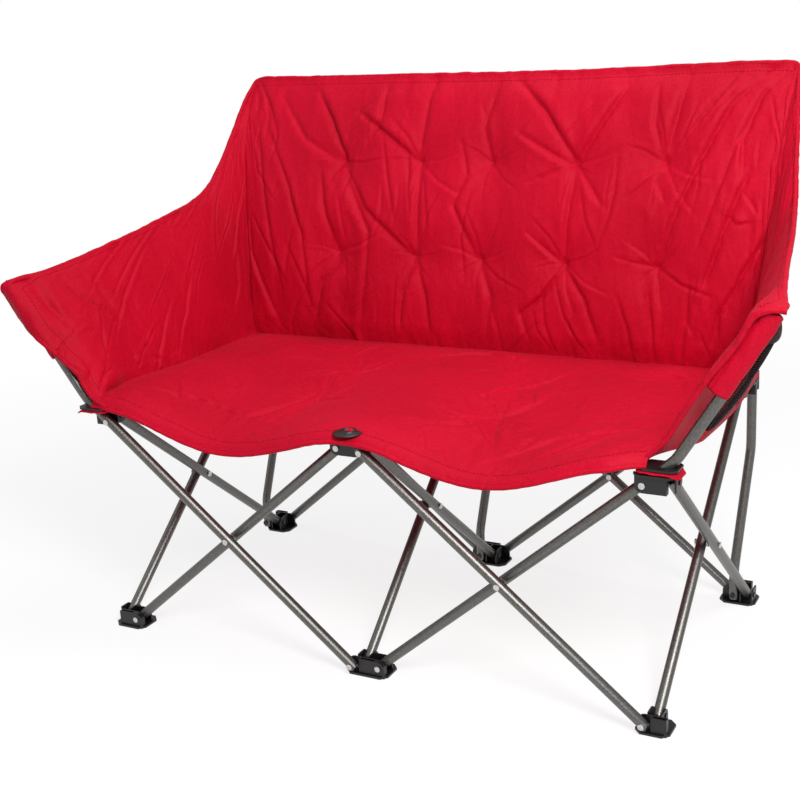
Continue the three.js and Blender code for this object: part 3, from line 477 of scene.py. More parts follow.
def near_tufts(a, b, tufts, spread):
    """1 at each tuft, falling off over the spread."""
    return sum(np.exp(-((a - ta) ** 2 + (b - tb) ** 2) / spread**2) for ta, tb in tufts)


def at_tufts(a, b, tufts, reach):
    """Whether a point lies within reach of a tuft."""
    return np.any([(a - ta) ** 2 + (b - tb) ** 2 < reach**2 for ta, tb in tufts], axis=0)


def tuft_pull(a, b, tufts, spread):
    """1 on open cloth, and nearly 0 where a tuft holds it down."""
    return 1 - 0.9 * np.minimum(near_tufts(a, b, tufts, spread), 1)


def folds(a, b, lines, width, depth, seed):
    """Folds along lines on a plane: a sharp crease in a soft groove, with a ridge on one side of it."""
    chance = np.random.default_rng(seed)
    out = np.zeros(a.shape)
    for line in lines:
        p = np.array(line, float)
        steps = run_along(p)
        small = np.clip(steps[-1] / 130, 0.5, 1)
        w = width * small * chance.uniform(0.75, 1.35)
        high, turn = small * chance.uniform(0.7, 1.25), chance.choice([-1, 1])
        (a0, b0), (a1, b1) = p.min(0) - 7 * w, p.max(0) + 7 * w
        at = np.nonzero((a > a0) & (a < a1) & (b > b0) & (b < b1))
        fa, fb = a[at], b[at]
        near, share, side = np.full(fa.shape, 1e9), np.zeros(fa.shape), np.ones(fa.shape)
        for k in range(len(p) - 1):
            d = p[k + 1] - p[k]
            t = np.clip(((fa - p[k, 0]) * d[0] + (fb - p[k, 1]) * d[1]) / (d @ d), 0, 1)
            da, db = fa - p[k, 0] - t * d[0], fb - p[k, 1] - t * d[1]
            gap = np.hypot(da, db)
            closer = gap < near
            near = np.where(closer, gap, near)
            share = np.where(closer, mix(steps[k], steps[k + 1], t) / steps[-1], share)
            side = np.where(closer, np.sign(da * d[1] - db * d[0]), side)
        taper = np.sin(np.pi * (0.06 + 0.88 * share)) ** 0.8
        far = np.maximum(near - 1.2 * w, 0) / (2.4 * w)
        ridge = np.exp(-far**2) * smooth(near / (1.2 * w)) * np.where(side * turn > 0, 0.75, 0.1)
        crease = 0.65 * np.exp(-near / (0.5 * w)) + 0.25 * np.exp(-((near / w) ** 2))
        out[at] += depth * high * taper * (ridge - crease)
    return out


def star(tuft, seed, count=7, reach=(45, 120)):
    """Lines that run out from a tuft."""
    chance = np.random.default_rng(seed)
    turn = (np.arange(count) + chance.uniform(-0.3, 0.3, count)) * 2 * np.pi / count + chance.uniform(0, 1)
    far = chance.uniform(*reach, count)

    def at(r, t):
        return tuft[0] + r * math.cos(t), tuft[1] + r * math.sin(t)

    return [[tuft, at(0.5 * r, t), at(r, t + 0.12)] for t, r in zip(turn, far)]


def seat_relief(x, y, crisp):
    """Sewn and pulled folds on the seat: the soft ones, or the crisp ones that go on top."""
    half = np.where(x < 0, seat_half(-1, y), seat_half(1, y))
    edge = np.minimum(half - np.abs(x), SEAT_REAR - y)
    lines = [line for k, t in enumerate(SEAT_TUFTS) for line in star(t, 40 + k, 6, (50, 120))] + SEAT_FOLDS
    if crisp:
        chance = np.random.default_rng(91)
        for _ in range(46):
            at = chance.uniform((-500, 20), (500, 500))
            turn, long = chance.uniform(0, math.pi), chance.uniform(35, 110)
            way = 0.5 * long * np.array([math.cos(turn), math.sin(turn)])
            lines.append([at - way, at + chance.uniform(-6, 6, 2), at + way])
        relief = folds(x, y, lines, width=5.5, depth=3.4, seed=3)
        relief += 1.0 * waves(x / 9, y / 9, 8) * np.exp(-edge / 24)
    else:
        relief = folds(x, y, lines, width=11, depth=2.4, seed=3)
        relief += 1.9 * waves(x / 70, y / 48, 5) + 1.0 * waves(x / 26 + y / 90, y / 30, 6)
        relief += 2.4 * waves(x / 15, y / 15, 7) * np.exp(-edge / 26)
    return relief * smooth(edge / 30) * smooth((y - seat_edge(x)) / 25)


def seat_skins(columns=112, rows=56):
    """Top and underside of the seat."""
    u, v = np.meshgrid(np.linspace(0, 1, columns), np.linspace(0, 1, rows))
    v = mix(v, smooth(v), 0.3)
    x = mix(-SEAT_HALF, SEAT_HALF, u)
    y = mix(seat_edge(x), SEAT_REAR, v)
    top = seat_top(x, y)
    x = x / SEAT_HALF * np.where(x < 0, seat_half(-1, y), seat_half(1, y))
    pull = tuft_pull(x, y, SEAT_TUFTS, SEAT_TUFT)
    rise = SEAT_RISE * from_seam(u, 0.07) * from_seam(v, 0.12) * pull
    aside = np.minimum(np.abs(x), np.abs(np.abs(x) - PITCH)) - HUB_REACH
    along = np.minimum(y - HUB_REACH, PITCH - HUB_REACH - y)
    clear = smooth((np.maximum(aside, along) - 14) / 60)
    full = SEAT_EDGE + (SEAT_CROWN - SEAT_EDGE) * from_seam(u, 0.06) * from_seam(v, 0.14) * pull
    depth = mix(np.minimum(full, np.maximum(top - HUB_TOP - 1, 1.5)), full, clear)
    skin = np.stack([x, y, top + rise + seat_relief(x, y, crisp=False)], -1)
    pinned = at_tufts(x, y, SEAT_TUFTS, SEAT_PIN)
    pinned[[0, 1, -1]] = pinned[:, [0, -1]] = True
    skin = finer(finer(swell("seat_cloth", skin, pinned, slack=(1.05, 1.05, 1.0), pressure=1.6, cap=10)))
    skin[..., 2] += seat_relief(skin[..., 0], skin[..., 1], crisp=True)
    return skin, finer(np.stack([x, y, top - depth], -1))


# Back and arms: one skin that runs from arm tip to arm tip
ARM_COLUMNS, BACK_COLUMNS, SHELL_ROWS = 62, 112, 54
HEM_RISE, RIGHT_RISE = 3, 9
EDGE_GAP, SIDE_GAP, FOOT_DROP, FOOT_IN = 1.5, 3, 7, 5
WRAP_FROM, WRAP_REACH, WRAP_SHIFT, WRAP_WAY = 0.34, 20, 15, np.array([0.6, -0.8])
CORNER_EASE, EASE_PASSES = 4.2, 46
BACK_TUFT, BACK_PIN, BACK_HEM_FOOT = 44, 8, 9


def back_line(z):
    """How far back the back leans at a height."""
    return BACK_FRONT + RECLINE * ((z - SEAT_REAR_TOP) / (BACK_TOP - SEAT_REAR_TOP)) ** 2


def top_rise(x):
    """The top hem is pulled up towards the right."""
    return HEM_RISE + RIGHT_RISE * ease(x, 100, 450)


def arm_tube(sign):
    """Both ends of an arm tube: the left one lies in front of the row of legs, the right one behind it."""
    return (np.array([sign * x, sign * y, z]) for x, y, z in (ARM_BEND, ARM_TIP))


def arm_foot(y):
    """Height of an arm's lower edge, along the side of the seat."""
    return seat_top(SEAT_HALF - FOOT_IN, np.clip(y, 30, SEAT_REAR)) - FOOT_DROP


def arm_points(sign, u, v):
    """Points of an arm's middle sheet: u runs from its front edge to the back, v from the seat to the hem."""
    edge = ARM_THICK + EDGE_GAP
    front = along_line(ARM_FRONT[sign], 400)
    half = TOP_HALF[sign]
    corner_top = BACK_TOP + top_rise(sign * half)
    corner = np.array([sign * (half + edge), back_line(BACK_TOP) + LINING, corner_top])
    low = np.array([sign * (LOW_HALF[sign] + edge), BACK_FRONT + LINING, BACK_FOOT])
    tip = front[-1]
    hem = along_line([tip, *(tip + (corner - tip) * np.array(h) for h in HEM), corner], 400)
    even = np.linspace(0, 1, 400)
    top = read_line(u, even, hem)
    y = mix(front[0][1], low[1], u)
    foot = np.stack([sign * (seat_half(sign, y) + SIDE_GAP), y, arm_foot(y)], -1)
    foot[:, :2] = mix(foot[:, :2], low[:2], ease(u, 0.6, 0.4)[:, None])
    p = mix(foot[None], top[None], v[:, None, None])
    bow = back_line(mix(BACK_FOOT, BACK_TOP, v)) + LINING - mix(low[1], corner[1], v)
    p[..., 1] += bow[:, None] * ease(u, 0.35, 0.65)[None]
    # The front edge hangs free of its tube below the sleeve
    first_y = front[0][1]
    first = np.array([sign * (seat_half(sign, first_y) + SIDE_GAP), first_y, arm_foot(first_y)])
    edge_line = read_line(v, even, front) - mix(first, tip, v[:, None])
    near = 1 - smooth(u / FRONT_REACH[sign])
    p += edge_line[:, None] * near[None, :, None]
    if sign < 0:
        # The left one wraps round the front of its sleeve
        p[..., 0] += WRAP_SHIFT * ((1 - smooth(u / 0.3)) * (1 - near))[None] * smooth(v / 0.12)[:, None]
        bend, end = arm_tube(sign)
        share = np.clip((p[..., 2] - bend[2]) / (end[2] - bend[2]), 0, 1.1)
        off = (p - bend - share[..., None] * (end - bend))[..., :2]
        reach = WRAP_REACH * ease(share, WRAP_FROM, 0.12)
        run, inside = off @ WRAP_WAY, (off**2).sum(-1) - reach**2
        move = np.where(inside < 0, np.sqrt(np.maximum(run**2 - inside, 0)) - run, 0)
        p[..., :2] += move[..., None] * WRAP_WAY
    return p


def shell_base():
    """The middle sheet, with its corners between back and arms eased round."""
    u, v = np.linspace(0, 1, ARM_COLUMNS), np.linspace(0, 1, SHELL_ROWS)
    s = np.linspace(-1, 1, BACK_COLUMNS)[None]
    x = s * mix(*(np.where(s < 0, half[-1], half[1]) for half in (LOW_HALF, TOP_HALF)), v[:, None])
    z = mix(BACK_FOOT - BACK_HEM_FOOT, BACK_TOP + top_rise(x), v[:, None])
    back = np.stack([x, back_line(np.clip(z, BACK_FOOT, BACK_TOP)), z], -1)
    skin = np.concatenate([arm_points(-1, u, v), back, arm_points(1, u[::-1], v)], 1)
    column = np.arange(skin.shape[1])
    corners = (ARM_COLUMNS - 0.5, ARM_COLUMNS + BACK_COLUMNS - 0.5)
    bend = sum(np.exp(-((column - c) / CORNER_EASE) ** 2) for c in corners)
    soft = bend[None] * (1 - 0.9 * ease(v, 0.82, 0.16))[:, None]
    for _ in range(EASE_PASSES):
        middle = (skin[:, :-2] + skin[:, 2:]) / 2 - skin[:, 1:-1]
        skin[:, 1:-1] += 0.5 * soft[:, 1:-1, None] * middle
    return skin


def back_share(column, reach, over):
    """1 on the columns of the back and 0 on those of the arms."""
    left = smooth((column - ARM_COLUMNS + reach) / over)
    return left * smooth((ARM_COLUMNS + BACK_COLUMNS + reach - 1 - column) / over)


def loose_folds(count, seed):
    """Short folds that run up and down, here and there."""
    chance = np.random.default_rng(seed)
    lines = []
    for _ in range(count):
        a, z, long = chance.uniform(-1150, 1100), chance.uniform(470, 930), chance.uniform(45, 170)
        tilt, bow = chance.normal(0, 0.35), chance.uniform(-0.12, 0.12)
        da, dz = 0.5 * long * math.sin(tilt), 0.5 * long * math.cos(tilt)
        lines.append([(a - da, z - dz), (a + bow * long, z), (a + da, z + dz)])
    return lines


def shell_relief(skin, crisp):
    """Sewn and pulled folds on the back and arms: the soft ones, or the crisp ones that go on top."""
    x, z = skin[..., 0], skin[..., 2]
    column = np.linspace(0, 2 * ARM_COLUMNS + BACK_COLUMNS - 1, skin.shape[1])
    on_back = back_share(column, reach=4, over=6)[None]
    step = np.linalg.norm(np.diff(skin, axis=1), axis=-1)
    along = np.concatenate([np.zeros((len(skin), 1)), np.cumsum(step, 1)], 1)
    middles = [np.interp(0, x_row[40:-40], a_row[40:-40]) for x_row, a_row in zip(x, along)]
    along -= np.stack(middles)[:, None]
    low, high = z - skin[:1, :, 2], skin[-1:, :, 2] - z
    stars = [line for k, t in enumerate(BACK_TUFTS) for line in star(t, 70 + k, 7, (40, 120))]
    if crisp:
        relief = folds(along, z, SHELL_FOLDS, width=6.0, depth=4.2, seed=1)
        relief += folds(along, z, loose_folds(count=140, seed=90), width=5.0, depth=2.6, seed=4)
        relief += on_back * folds(x, z, stars, width=4.5, depth=2.4, seed=2)
        relief -= on_back * 3.0 * near_tufts(x, z, BACK_TUFTS, 8)
        relief += 1.2 * waves(along / 9, z / 60, 26) * (np.exp(-low / 30) + 0.6 * np.exp(-high / 22))
    else:
        relief = folds(along, z, SHELL_FOLDS, width=12, depth=3.0, seed=1)
        relief -= on_back * 4.0 * near_tufts(x, z, BACK_TUFTS, 12)
        lean = along + 0.12 * (z - 700) * np.sign(along)
        streaks = 1.7 * waves(lean / 33, z / 260, 21) + waves(lean / 17, z / 150 + 7, 22)
        relief += mix(0.4, 0.8, on_back) * streaks
        relief += mix(2.0, 1.2, on_back) * waves(along / 90 + z / 70, z / 80 - along / 200, 25)
        relief += 4.0 * waves(along / 17, z / 400, 23) * np.exp(-low / 40) * smooth(low / 8)
        relief += 2.0 * waves(along / 16, z / 400, 24) * np.exp(-high / 26) * smooth(high / 8)
    return relief * smooth(np.minimum(low, high) / 9)


def shell_skins():
    """Front, rear and middle of the sheet that makes the back and both arms."""
    base = shell_base()
    n = facing(base)
    rows, columns = base.shape[:2]
    v = np.linspace(0, 1, rows)[:, None] + np.zeros(columns)
    column = np.arange(columns)
    x, z = base[..., 0], base[..., 2]
    on_back = back_share(column, reach=11, over=12)[None]
    pull = mix(1, tuft_pull(x, z, BACK_TUFTS, BACK_TUFT), on_back)
    end = smooth(np.minimum(column, columns - 1 - column) / 8)[None]
    crown = mix(ARM_CROWN - ARM_THICK, BACK_CROWN - BACK_EDGE, on_back) * pull
    relief = shell_relief(base, crisp=False)
    front = base + n * (ARM_THICK + crown * from_seam(v, 0.1) * end + relief)[..., None]
    dimples = near_tufts(x, z, BACK_TUFTS, 16) * on_back
    rear = base + n * (0.5 - LINING + 0.5 * relief + 4.0 * dimples)[..., None]
    pinned = at_tufts(x, z, BACK_TUFTS, BACK_PIN) & (on_back > 0.9)
    pinned[[0, 1, -2, -1]] = pinned[:, [0, 1, -2, -1]] = True
    # The soft folds seed the cloth run, and the crisp ones go on top of it
    front = swell("shell_cloth", front, pinned, slack=(1.07, 1.07, 1.05), pressure=2.0, cap=16)
    front = finer(finer(front))
    fine = finer(finer(base))
    front = front + facing(fine) * shell_relief(fine, crisp=True)[..., None]
    return front, finer(rear), base


seat_front, seat_rear = seat_skins()
shell_front, shell_rear, shell_middle = shell_skins()


def pieces(name, front, rear, sort):
    """The closed sheet cut into pieces along its grid; the cuts don't show, because the normals go across."""
    points, faces, cells = closed(metres(front), metres(rear))
    whole = link("whole", points, faces, red)
    normals = np.zeros(len(points) * 3, np.float32)
    whole.data.vertex_normals.foreach_get("vector", normals)
    normals = normals.reshape(-1, 3)
    bpy.data.objects.remove(whole)
    labels = [sort(r, c) for r, c in cells]
    made = {}
    for label in sorted(set(labels)):
        part = [f for f, at in zip(faces, labels) if at == label]
        used = sorted({i for f in part for i in f})
        place = {i: k for k, i in enumerate(used)}
        part = [[place[i] for i in f] for f in part]
        made[label] = link(f"{label}_{name}", points[used], part, red, normals=normals[used])
    return made


# How the soft pieces move: each rides on a body
SEAT_BODY = {"left": "left_arm_leg", "center_left": "front_left_right_leaning_leg",
             "center_right": "front_right_left_leaning_leg", "right": "right_arm_leg"}
SEAT_ANCHOR, BACK_ANCHOR = (0, FRONT_ROW, 0.44), (0, FRONT_ROW + 0.56, 0.7)
ARM_OFFSET = 0.011


def arm_anchor(sign):
    """A point at the front row, a little forward for the left arm and back for the right."""
    return (0, FRONT_ROW + sign * ARM_OFFSET, 0.5)


def dress(piece, body, stands_for):
    """The piece rides on a body, in place of a CAD solid."""
    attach(piece, body)
    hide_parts(stands_for)


def follow(piece, label):
    """The piece moves with the panel of that name."""
    if "arm" in label:
        side = label.split("_")[0]
        dress(piece, f"{side}_arm_leg", f"{side}_arm_pad")
        arm_anchor(SIDES[side])
        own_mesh(piece)
    elif "back" in label:
        dress(piece, "rear_center_collar" if "lower" in label else "rear_center_foot", "back_pad")
        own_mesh(piece)
        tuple(BACK_ANCHOR)
    else:
        dress(piece, SEAT_BODY[label], "seat_pad")
        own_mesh(piece)
        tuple(SEAT_ANCHOR)


# Panels: four on the seat, one on each arm and two on the back
SEAT_LABELS = list(SEAT_BODY)
ARM_END = ARM_COLUMNS - 9
UPPER_BACK_FROM = 0.91 * SHELL_ROWS


def seat_sort(row, column):
    return SEAT_LABELS[min(3, int(4 * column / (seat_rear.shape[1] - 1)))]


def shell_sort(row, column):
    if column < 2 * ARM_END:
        return "left_arm"
    if column >= shell_rear.shape[1] - 1 - 2 * ARM_END:
        return "right_arm"
    return "lower_back" if row < UPPER_BACK_FROM else "upper_back"


for label, piece in pieces("seat_panel", seat_front, seat_rear, seat_sort).items():
    follow(piece, label)
for label, piece in pieces("panel", shell_front, shell_rear, shell_sort).items():
    follow(piece, label)


# Piping along the hems, and the rows of stitches beside it
PIPING, SEAT_PIPING = 4.4, 4.0
STITCH, STITCH_PITCH = 4.4, 7.0
STITCH_RADII = (0.35, 0.6, 0.6, 0.35)


def stitches(name, line, lift):
    """One mesh of short threads that lie along a line, with their ends sunk in."""
    run = run_along(line)
    threads = []
    for at in np.arange(STITCH_PITCH, run[-1] - STITCH_PITCH, STITCH_PITCH):
        even = at + np.array([0, 0.25, 0.75, 1]) * STITCH
        p = read_line(even, run, line + lift)
        p[[0, -1]] -= 0.6 * read_line(even[[0, -1]], run, lift)
        threads.append(loft(rings_on(p, STITCH_RADII, 6)))
    return form(name, joined(threads), thread)


middle, skin = finer(shell_middle), shell_front[::2, ::2]
cut = 2 * ARM_END
hems = {"left_arm": np.vstack([middle[:-3, 0], middle[-1, 3:cut + 1]]),
        "upper_back": middle[-1, cut:-cut],
        "right_arm": np.vstack([middle[-1, -cut - 1:-3], middle[-4::-1, -1]])}
for label, line in hems.items():
    line = along_line(line[::3], 3 * len(line))
    far = np.arange(len(line)) * 1.6
    line[:, 2] += 0.8 * waves(far / 23, far * 0, 61)
    piece = tube(f"{label}_piping", line, PIPING + 0.5 * waves(far / 9, far * 0 + 4, 62), 12, red)
    follow(piece, label)


def hem_rows(grid):
    """The row beside each hem, from a grid of points or of normals."""
    return {"left_arm": np.vstack([grid[8:-8, 4], grid[-4, 8:cut]]),
            "upper_back": grid[-4, cut:-cut],
            "right_arm": np.vstack([grid[-4, -cut:-8], grid[-8:8:-1, -5]])}


lifts = hem_rows(facing(skin))
for label, line in hem_rows(skin).items():
    follow(stitches(f"{label}_hem_stitches", line, 0.5 * lifts[label]), label)

SEAT_STITCH_ROW = 10
quarter = (len(seat_front[0]) - 1) / 4
seat_lift = 0.5 * facing(seat_front)[SEAT_STITCH_ROW]
seat_middle = seat_front[0] * 0.5 + finer(seat_rear)[0] * 0.5
for k, label in enumerate(SEAT_LABELS):
    part = slice(int(round(k * quarter)), int(round((k + 1) * quarter)) + 1)
    line = seat_middle[part]
    radius = SEAT_PIPING + 0.4 * waves(line[:, 0] / 11, line[:, 0] * 0, 63)
    piece = tube(f"{label}_seat_piping", line, radius, 12, red)
    follow(piece, label)
    follow(stitches(f"{label}_seat_stitches", seat_front[SEAT_STITCH_ROW, part], seat_lift[part]), label)


# Sleeves over the arm tubes
SLEEVE_DEEP = 12.4


def sleeve(side, start, stop, wide, inward):
    """A flat tube of fabric with an open mouth, over a stretch of the arm tube."""
    sign = SIDES[side]
    bend, tip = arm_tube(sign)
    axis = (tip - bend) / np.linalg.norm(tip - bend)
    across = np.cross((0, 1, 0), axis) * -sign
    across /= np.linalg.norm(across)
    deep = np.cross(axis, across)
    turn = np.linspace(0, 2 * np.pi, 48, endpoint=False)
    seam = np.exp(-((np.abs((turn + np.pi) % (2 * np.pi) - np.pi) - 0.95) / 0.1) ** 2)
    # Up the outside, over the mouth and down the inside
    share = np.append(np.linspace(start, stop, 46), stop + np.array([0.005, 0.001, -0.015, -0.03, -0.04]))
    size = np.concatenate([np.ones(46), [0.95, 0.86, 0.82, 0.8, 0.78]])
    size[:2] = (0.94, 0.99)
    rings = []
    for s, k in zip(share, size):
        crease = 0.7 * waves(turn * 2 + 9 * s, turn * 0 + 14 * s, 64) * smooth((s - start) / 0.05)
        w, d = wide * k + crease, SLEEVE_DEEP * k + crease
        mouth = smooth((s - stop + 0.1) / 0.1)
        ring = bend + (tip - bend) * s + across * (inward + 2 * mouth)
        ring = ring + np.outer(w * np.cos(turn) * (1 - 0.08 * seam), across)
        ring = ring + np.outer(d * np.sin(turn) * (1 - 0.2 * seam), deep)
        rings.append(ring + np.outer(mouth * (2.5 * np.cos(2 * turn + 0.6) + 2 * np.cos(3 * turn)), axis))
    piece = form(f"{side}_arm_sleeve", loft(np.array(rings)), red)
    dress(piece, f"{side}_arm_leg", f"{side}_arm_pad")


sleeve("left", start=0.38, stop=0.97, wide=14, inward=0)
sleeve("right", start=0.5, stop=1.08, wide=19, inward=8.5)


# Pockets over the tops of the uprights
UPRIGHT_LOW, UPRIGHT_TOP, UPRIGHT_POCKET = (580, 690), (648.7, 958), 13.5


def upright_pocket(side, low_x, top_x):
    """A closed sock over the top of an upright, from x at two heights on it."""
    low, top = np.array([low_x, *UPRIGHT_LOW]), np.array([top_x, *UPRIGHT_TOP])
    share = np.concatenate([np.linspace(0.83, 1.03, 14), [1.042, 1.05, 1.055]])
    radius = UPRIGHT_POCKET + 0.7 * waves(share * 30, share * 0, 12)
    radius[-3:] *= (0.9, 0.68, 0.3)
    piece = tube(f"{side}_upright_pocket", low + (top - low) * share[:, None], radius, 18, red)
    dress(piece, f"rear_{side}_foot", "back_pad")


upright_pocket("left", -536, -556)
upright_pocket("center", -6, -6)
upright_pocket("right", 536, 556)

# Mesh pockets on the outer sides of the arms
POCKET_RUN, POCKET_LOW, POCKET_TOP = (0.2, 0.72), 0.1, (0.66, 0.5)
POCKET_BULGE, POCKET_OFF = 27, 6.6
NET_COLUMNS, NET_ROWS, NET_THREAD, BINDING = 45, 35, 0.75, 3.2


def pocket_skin(sign, columns, rows):
    """Points of a net: its top slopes down to the rear, and it stands off the arm most near the front."""
    height = np.linspace(0, 1, 201)
    whole = arm_points(sign, np.linspace(*POCKET_RUN, columns), height)
    b = np.linspace(0, 1, rows)
    skin = np.zeros((rows, columns, 3))
    for j, top in enumerate(np.linspace(*POCKET_TOP, columns)):
        skin[:, j] = read_line(mix(POCKET_LOW, top, b), height, whole[:, j])
    across = np.sin(np.pi * np.linspace(0, 1, columns) ** 0.45)
    bulge = POCKET_BULGE * across[None] * np.sin(np.pi * b / 2)[:, None]
    return skin + facing(skin) * sign * (POCKET_OFF + bulge)[..., None]


def mesh_pocket(side):
    """Upright and level threads, and a tape bound round their edge."""
    sign = SIDES[side]
    upright = pocket_skin(sign, NET_COLUMNS, 3 * NET_ROWS).transpose(1, 0, 2)
    level = pocket_skin(sign, 3 * NET_COLUMNS, NET_ROWS)
    threads = joined(loft(rings_on(line, NET_THREAD, 4)) for line in (*upright, *level))
    net = form(f"{side}_pocket_net", threads, tape, smooth_faces=False)
    skin = pocket_skin(sign, 41, 33)
    rim = np.vstack([skin[0, :-1], skin[:-1, -1], skin[-1, :0:-1], skin[::-1, 0]])
    binding = tube(f"{side}_pocket_binding", rim, BINDING, 8, tape, wide=1.6)
    for piece in (net, binding):
        dress(piece, f"{side}_arm_leg", f"{side}_mesh_pocket")
        arm_anchor(sign)
        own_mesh(piece)


for side in SIDES:
    mesh_pocket(side)

# Fabric tabs under the corner plates
TAB_HALF, TAB_CORNER, TAB_THICK, TAB_TOP = (34, 26), 51, 1.8, 442.4
TAB_MIDDLE, HOLE_MIDDLE, HOLE_HALF = 528, 533.1, (14.6, 9.4)
TAB_DROOP = 7


def corner_tab(side):
    """An oblong with cut corners and a hole for the tube, which droops at its outer end."""
    sign = SIDES[side]
    turn = np.linspace(0, 2 * np.pi, 72, endpoint=False)
    ca, sa = np.cos(turn), np.sin(turn)
    sides = [np.abs(ca) / TAB_HALF[0], np.abs(sa) / TAB_HALF[1], (np.abs(ca) + np.abs(sa)) / TAB_CORNER]
    reach = 1 / np.maximum.reduce(sides)
    skin = []
    for t in np.linspace(0, 1, 9):
        x = mix(HOLE_MIDDLE - TAB_MIDDLE + HOLE_HALF[0] * ca, reach * ca, t)
        y = mix(HOLE_HALF[1] * sa, reach * sa, t)
        sag = t**2 * (0.9 * waves(turn * 2.2, turn * 0, 71) - 1.6) - TAB_DROOP * ease(x, 20, 15)
        skin.append(np.stack([sign * (TAB_MIDDLE + x), sign * ARM_BEND[1] + y, TAB_TOP + sag], -1))
    skin = np.array(skin)
    under = skin[::-1] - (0, 0, TAB_THICK)
    piece = form(f"{side}_corner_tab_cloth", loft(np.concatenate([skin, under]), looped=True), red)
    dress(piece, f"{side}_arm_leg", f"{side}_corner_tab")


for side in SIDES:
    corner_tab(side)

# Plain cap that pins the seat to the middle hub: radius and height up the stem and over the top
CAP_PROFILE = [(5, 437), (5, 447.6), (25.6, 447.5), (26, 448.2), (25.4, 449.2), (20, 450.2), (15.2, 450.6),
               (14.6, 451.2), (14.0, 452.6), (13.2, 453.1), (11, 453.1), (10.2, 452.6), (9.6, 451.2),
               (8.8, 450.5), (4, 450.3), (0.4, 450.3)]
CAP_FORWARD = 7
turn = np.linspace(0, 2 * np.pi, 64, endpoint=False)
across, deep = np.cos(turn), np.sin(turn)
rings = [np.stack([r * across, r * deep - CAP_FORWARD, 0 * turn + z], -1) for r, z in CAP_PROFILE]
piece = form("middle_cap", loft(np.array(rings)), plastic)
dress(piece, "front_center_hub", "seat_cap")

# Carried CAD nodes: welded, and shaded smooth up to a crease angle
CREASE = math.radians(38)
soft_edges = bpy.data.node_groups.new("soft_edges", "GeometryNodeTree")
for way in ("INPUT", "OUTPUT"):
    soft_edges.interface.new_socket("Geometry", in_out=way, socket_type="NodeSocketGeometry")
start = node(soft_edges, "NodeGroupInput").outputs[0]
weld = node(soft_edges, "GeometryNodeMergeByDistance", [("Geometry", start)], Distance=1e-5).outputs[0]
bare = node(soft_edges, "GeometryNodeRemoveAttribute", [("Geometry", weld)], Name="custom_normal").outputs[0]
rounded = node(soft_edges, "GeometryNodeSetShadeSmooth", [("Geometry", bare)], domain="FACE").outputs[0]
angle = node(soft_edges, "GeometryNodeInputMeshEdgeAngle").outputs["Unsigned Angle"]
over = node(soft_edges, "FunctionNodeCompare", [(0, angle)])
over.inputs[1].default_value = CREASE
creases = [("Geometry", rounded), ("Selection", over.outputs[0])]
sharp = node(soft_edges, "GeometryNodeSetShadeSmooth", creases, domain="EDGE", Shade_Smooth=False)
node(soft_edges, "NodeGroupOutput", [(0, sharp.outputs[0])])

for name, obj in nodes.items():
    if name.endswith("rivet"):
        finish = rivet_steel
    elif name.endswith(("leg", "upright")):
        finish = tube_steel
    else:
        finish = plastic
    obj.data.materials.clear()
    obj.data.materials.append(finish)
    obj.modifiers.new("soft_edges", "NODES").node_group = soft_edges


# World and floor: white to the camera, and dimmer as light
AMBIENT, MIRRORED = 0.18, 0.6
FLOOR_PAINT, FLOOR_SEEN, FLOOR_GLOW = 0.86, 0.24, 0.82
FADE_FROM, FADE_TO, FLOOR_HALF = 1.1, 2.4, 14.0


def seen_white(tree, mirrored=True):
    """1 for what the camera sees, and what is mirrored if asked, 0 for the light that falls on things."""
    path = node(tree, "ShaderNodeLightPath").outputs
    seen = maths(tree, "MAXIMUM", path["Is Camera Ray"], path["Is Transmission Ray"])
    return maths(tree, "MAXIMUM", seen, path["Is Glossy Ray"]) if mirrored else seen


world = bpy.data.worlds.new("studio")
scene.world = world
world.use_nodes = True
sky = world.node_tree.nodes["Background"]
sky.inputs["Color"].default_value = (1, 1, 1, 1)
tree = world.node_tree
level = ranged(tree, seen_white(tree, mirrored=False), AMBIENT, 1.0)
mirrored = ranged(tree, node(tree, "ShaderNodeLightPath").outputs["Is Glossy Ray"], 0.0, MIRRORED)
brightest = maths(tree, "MAXIMUM", level.outputs[0], mirrored.outputs[0])
tree.links.new(brightest, sky.inputs["Strength"])

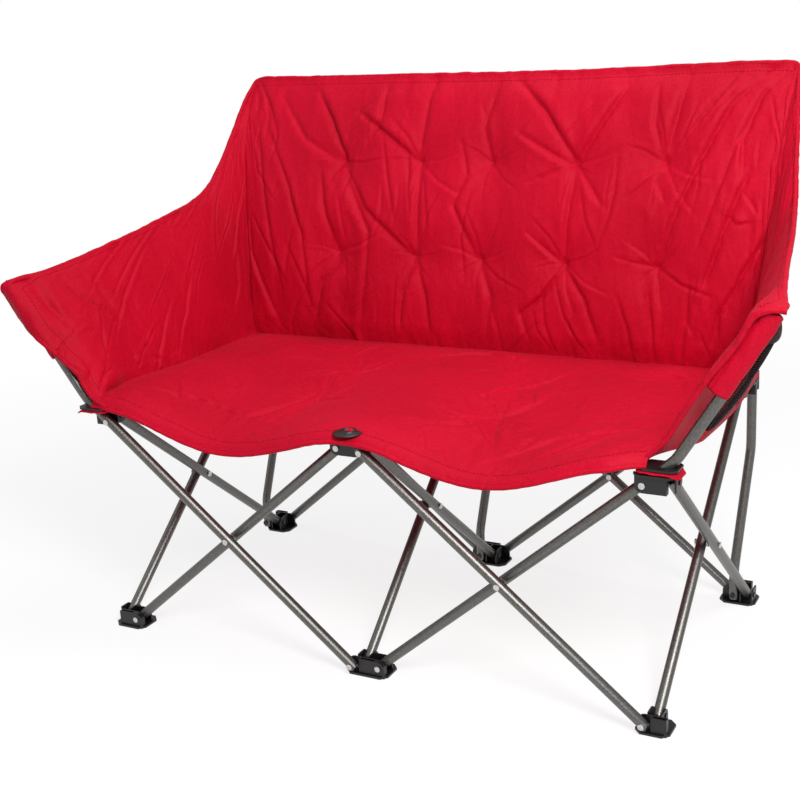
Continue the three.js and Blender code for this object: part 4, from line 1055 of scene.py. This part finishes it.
floor_finish, tree, shader = material("pale_floor")
seen = seen_white(tree)
far = maths(tree, "LENGTH", node(tree, "ShaderNodeTexCoord").outputs["Object"])
own = ranged(tree, far, FLOOR_SEEN, 0.0, FADE_FROM, FADE_TO)
paint = ranged(tree, seen, FLOOR_PAINT, FLOOR_SEEN)
tree.links.new(own.outputs[0], paint.inputs["To Max"])
shine = ranged(tree, far, FLOOR_GLOW, 1.0, FADE_FROM, FADE_TO)
glow = ranged(tree, seen, 0.0, 1.0)
tree.links.new(shine.outputs[0], glow.inputs["To Max"])
settle(tree, shader, [("Base Color", paint.outputs[0]), ("Emission Strength", glow.outputs[0])],
       Roughness=0.9, Specular_IOR_Level=0.0, Emission_Color=(1, 1, 1, 1))
corners = [(x * FLOOR_HALF, y * FLOOR_HALF, 0) for x, y in ((-1, -1), (1, -1), (1, 1), (-1, 1))]
link("floor", corners, [(0, 1, 2, 3)], floor_finish, smooth_faces=False)


# Lamps
def lamp(name, place, aim, size, power):
    data = bpy.data.lights.new(name, "AREA")
    data.shape, data.size, data.energy = "DISK", size, power
    made = bpy.data.objects.new(name, data)
    scene.collection.objects.link(made)
    made.location = place
    made.rotation_euler = (Vector(aim) - Vector(place)).to_track_quat("-Z", "Y").to_euler()


lamp("key", place=(1.5, -1.6, 2.2), aim=(0.15, 0.2, 0.6), size=1.0, power=70)
lamp("fill", place=(-2.5, -1.7, 1.9), aim=(0, 0, 0.5), size=1.6, power=7)
lamp("top", place=(0.1, 0.4, 3.2), aim=(0, 0.1, 0.5), size=1.6, power=26)

# Camera at the photograph's angle: its place in mm, and its focal length and shift in the photograph's pixels
YAW, TILT, ROLL = (math.radians(a) for a in (-27.184, 17.004, -2.868))
CAMERA_PLACE, SENSOR_WIDTH = (1088.7, -1754.4, 1122.5), 36
PHOTO_WIDTH, FOCAL_PIXELS, SHIFT_PIXELS = 800, 1309.72, -50
ahead = Vector((math.sin(YAW) * math.cos(TILT), math.cos(YAW) * math.cos(TILT), -math.sin(TILT)))
level = Vector((math.cos(YAW), -math.sin(YAW), 0))
upward = level.cross(ahead)
right = math.cos(ROLL) * level + math.sin(ROLL) * upward
upward = math.cos(ROLL) * upward - math.sin(ROLL) * level
camera = bpy.data.objects.new("camera", bpy.data.cameras.new("camera"))
scene.collection.objects.link(camera)
place = Matrix((right, upward, -ahead)).transposed().to_4x4()
place.translation = metres(CAMERA_PLACE)
camera.matrix_world = place
camera.data.sensor_width = SENSOR_WIDTH
camera.data.lens = SENSOR_WIDTH * FOCAL_PIXELS / PHOTO_WIDTH
camera.data.shift_x = SHIFT_PIXELS / PHOTO_WIDTH
scene.camera = camera
scene.view_settings.view_transform = "Standard"
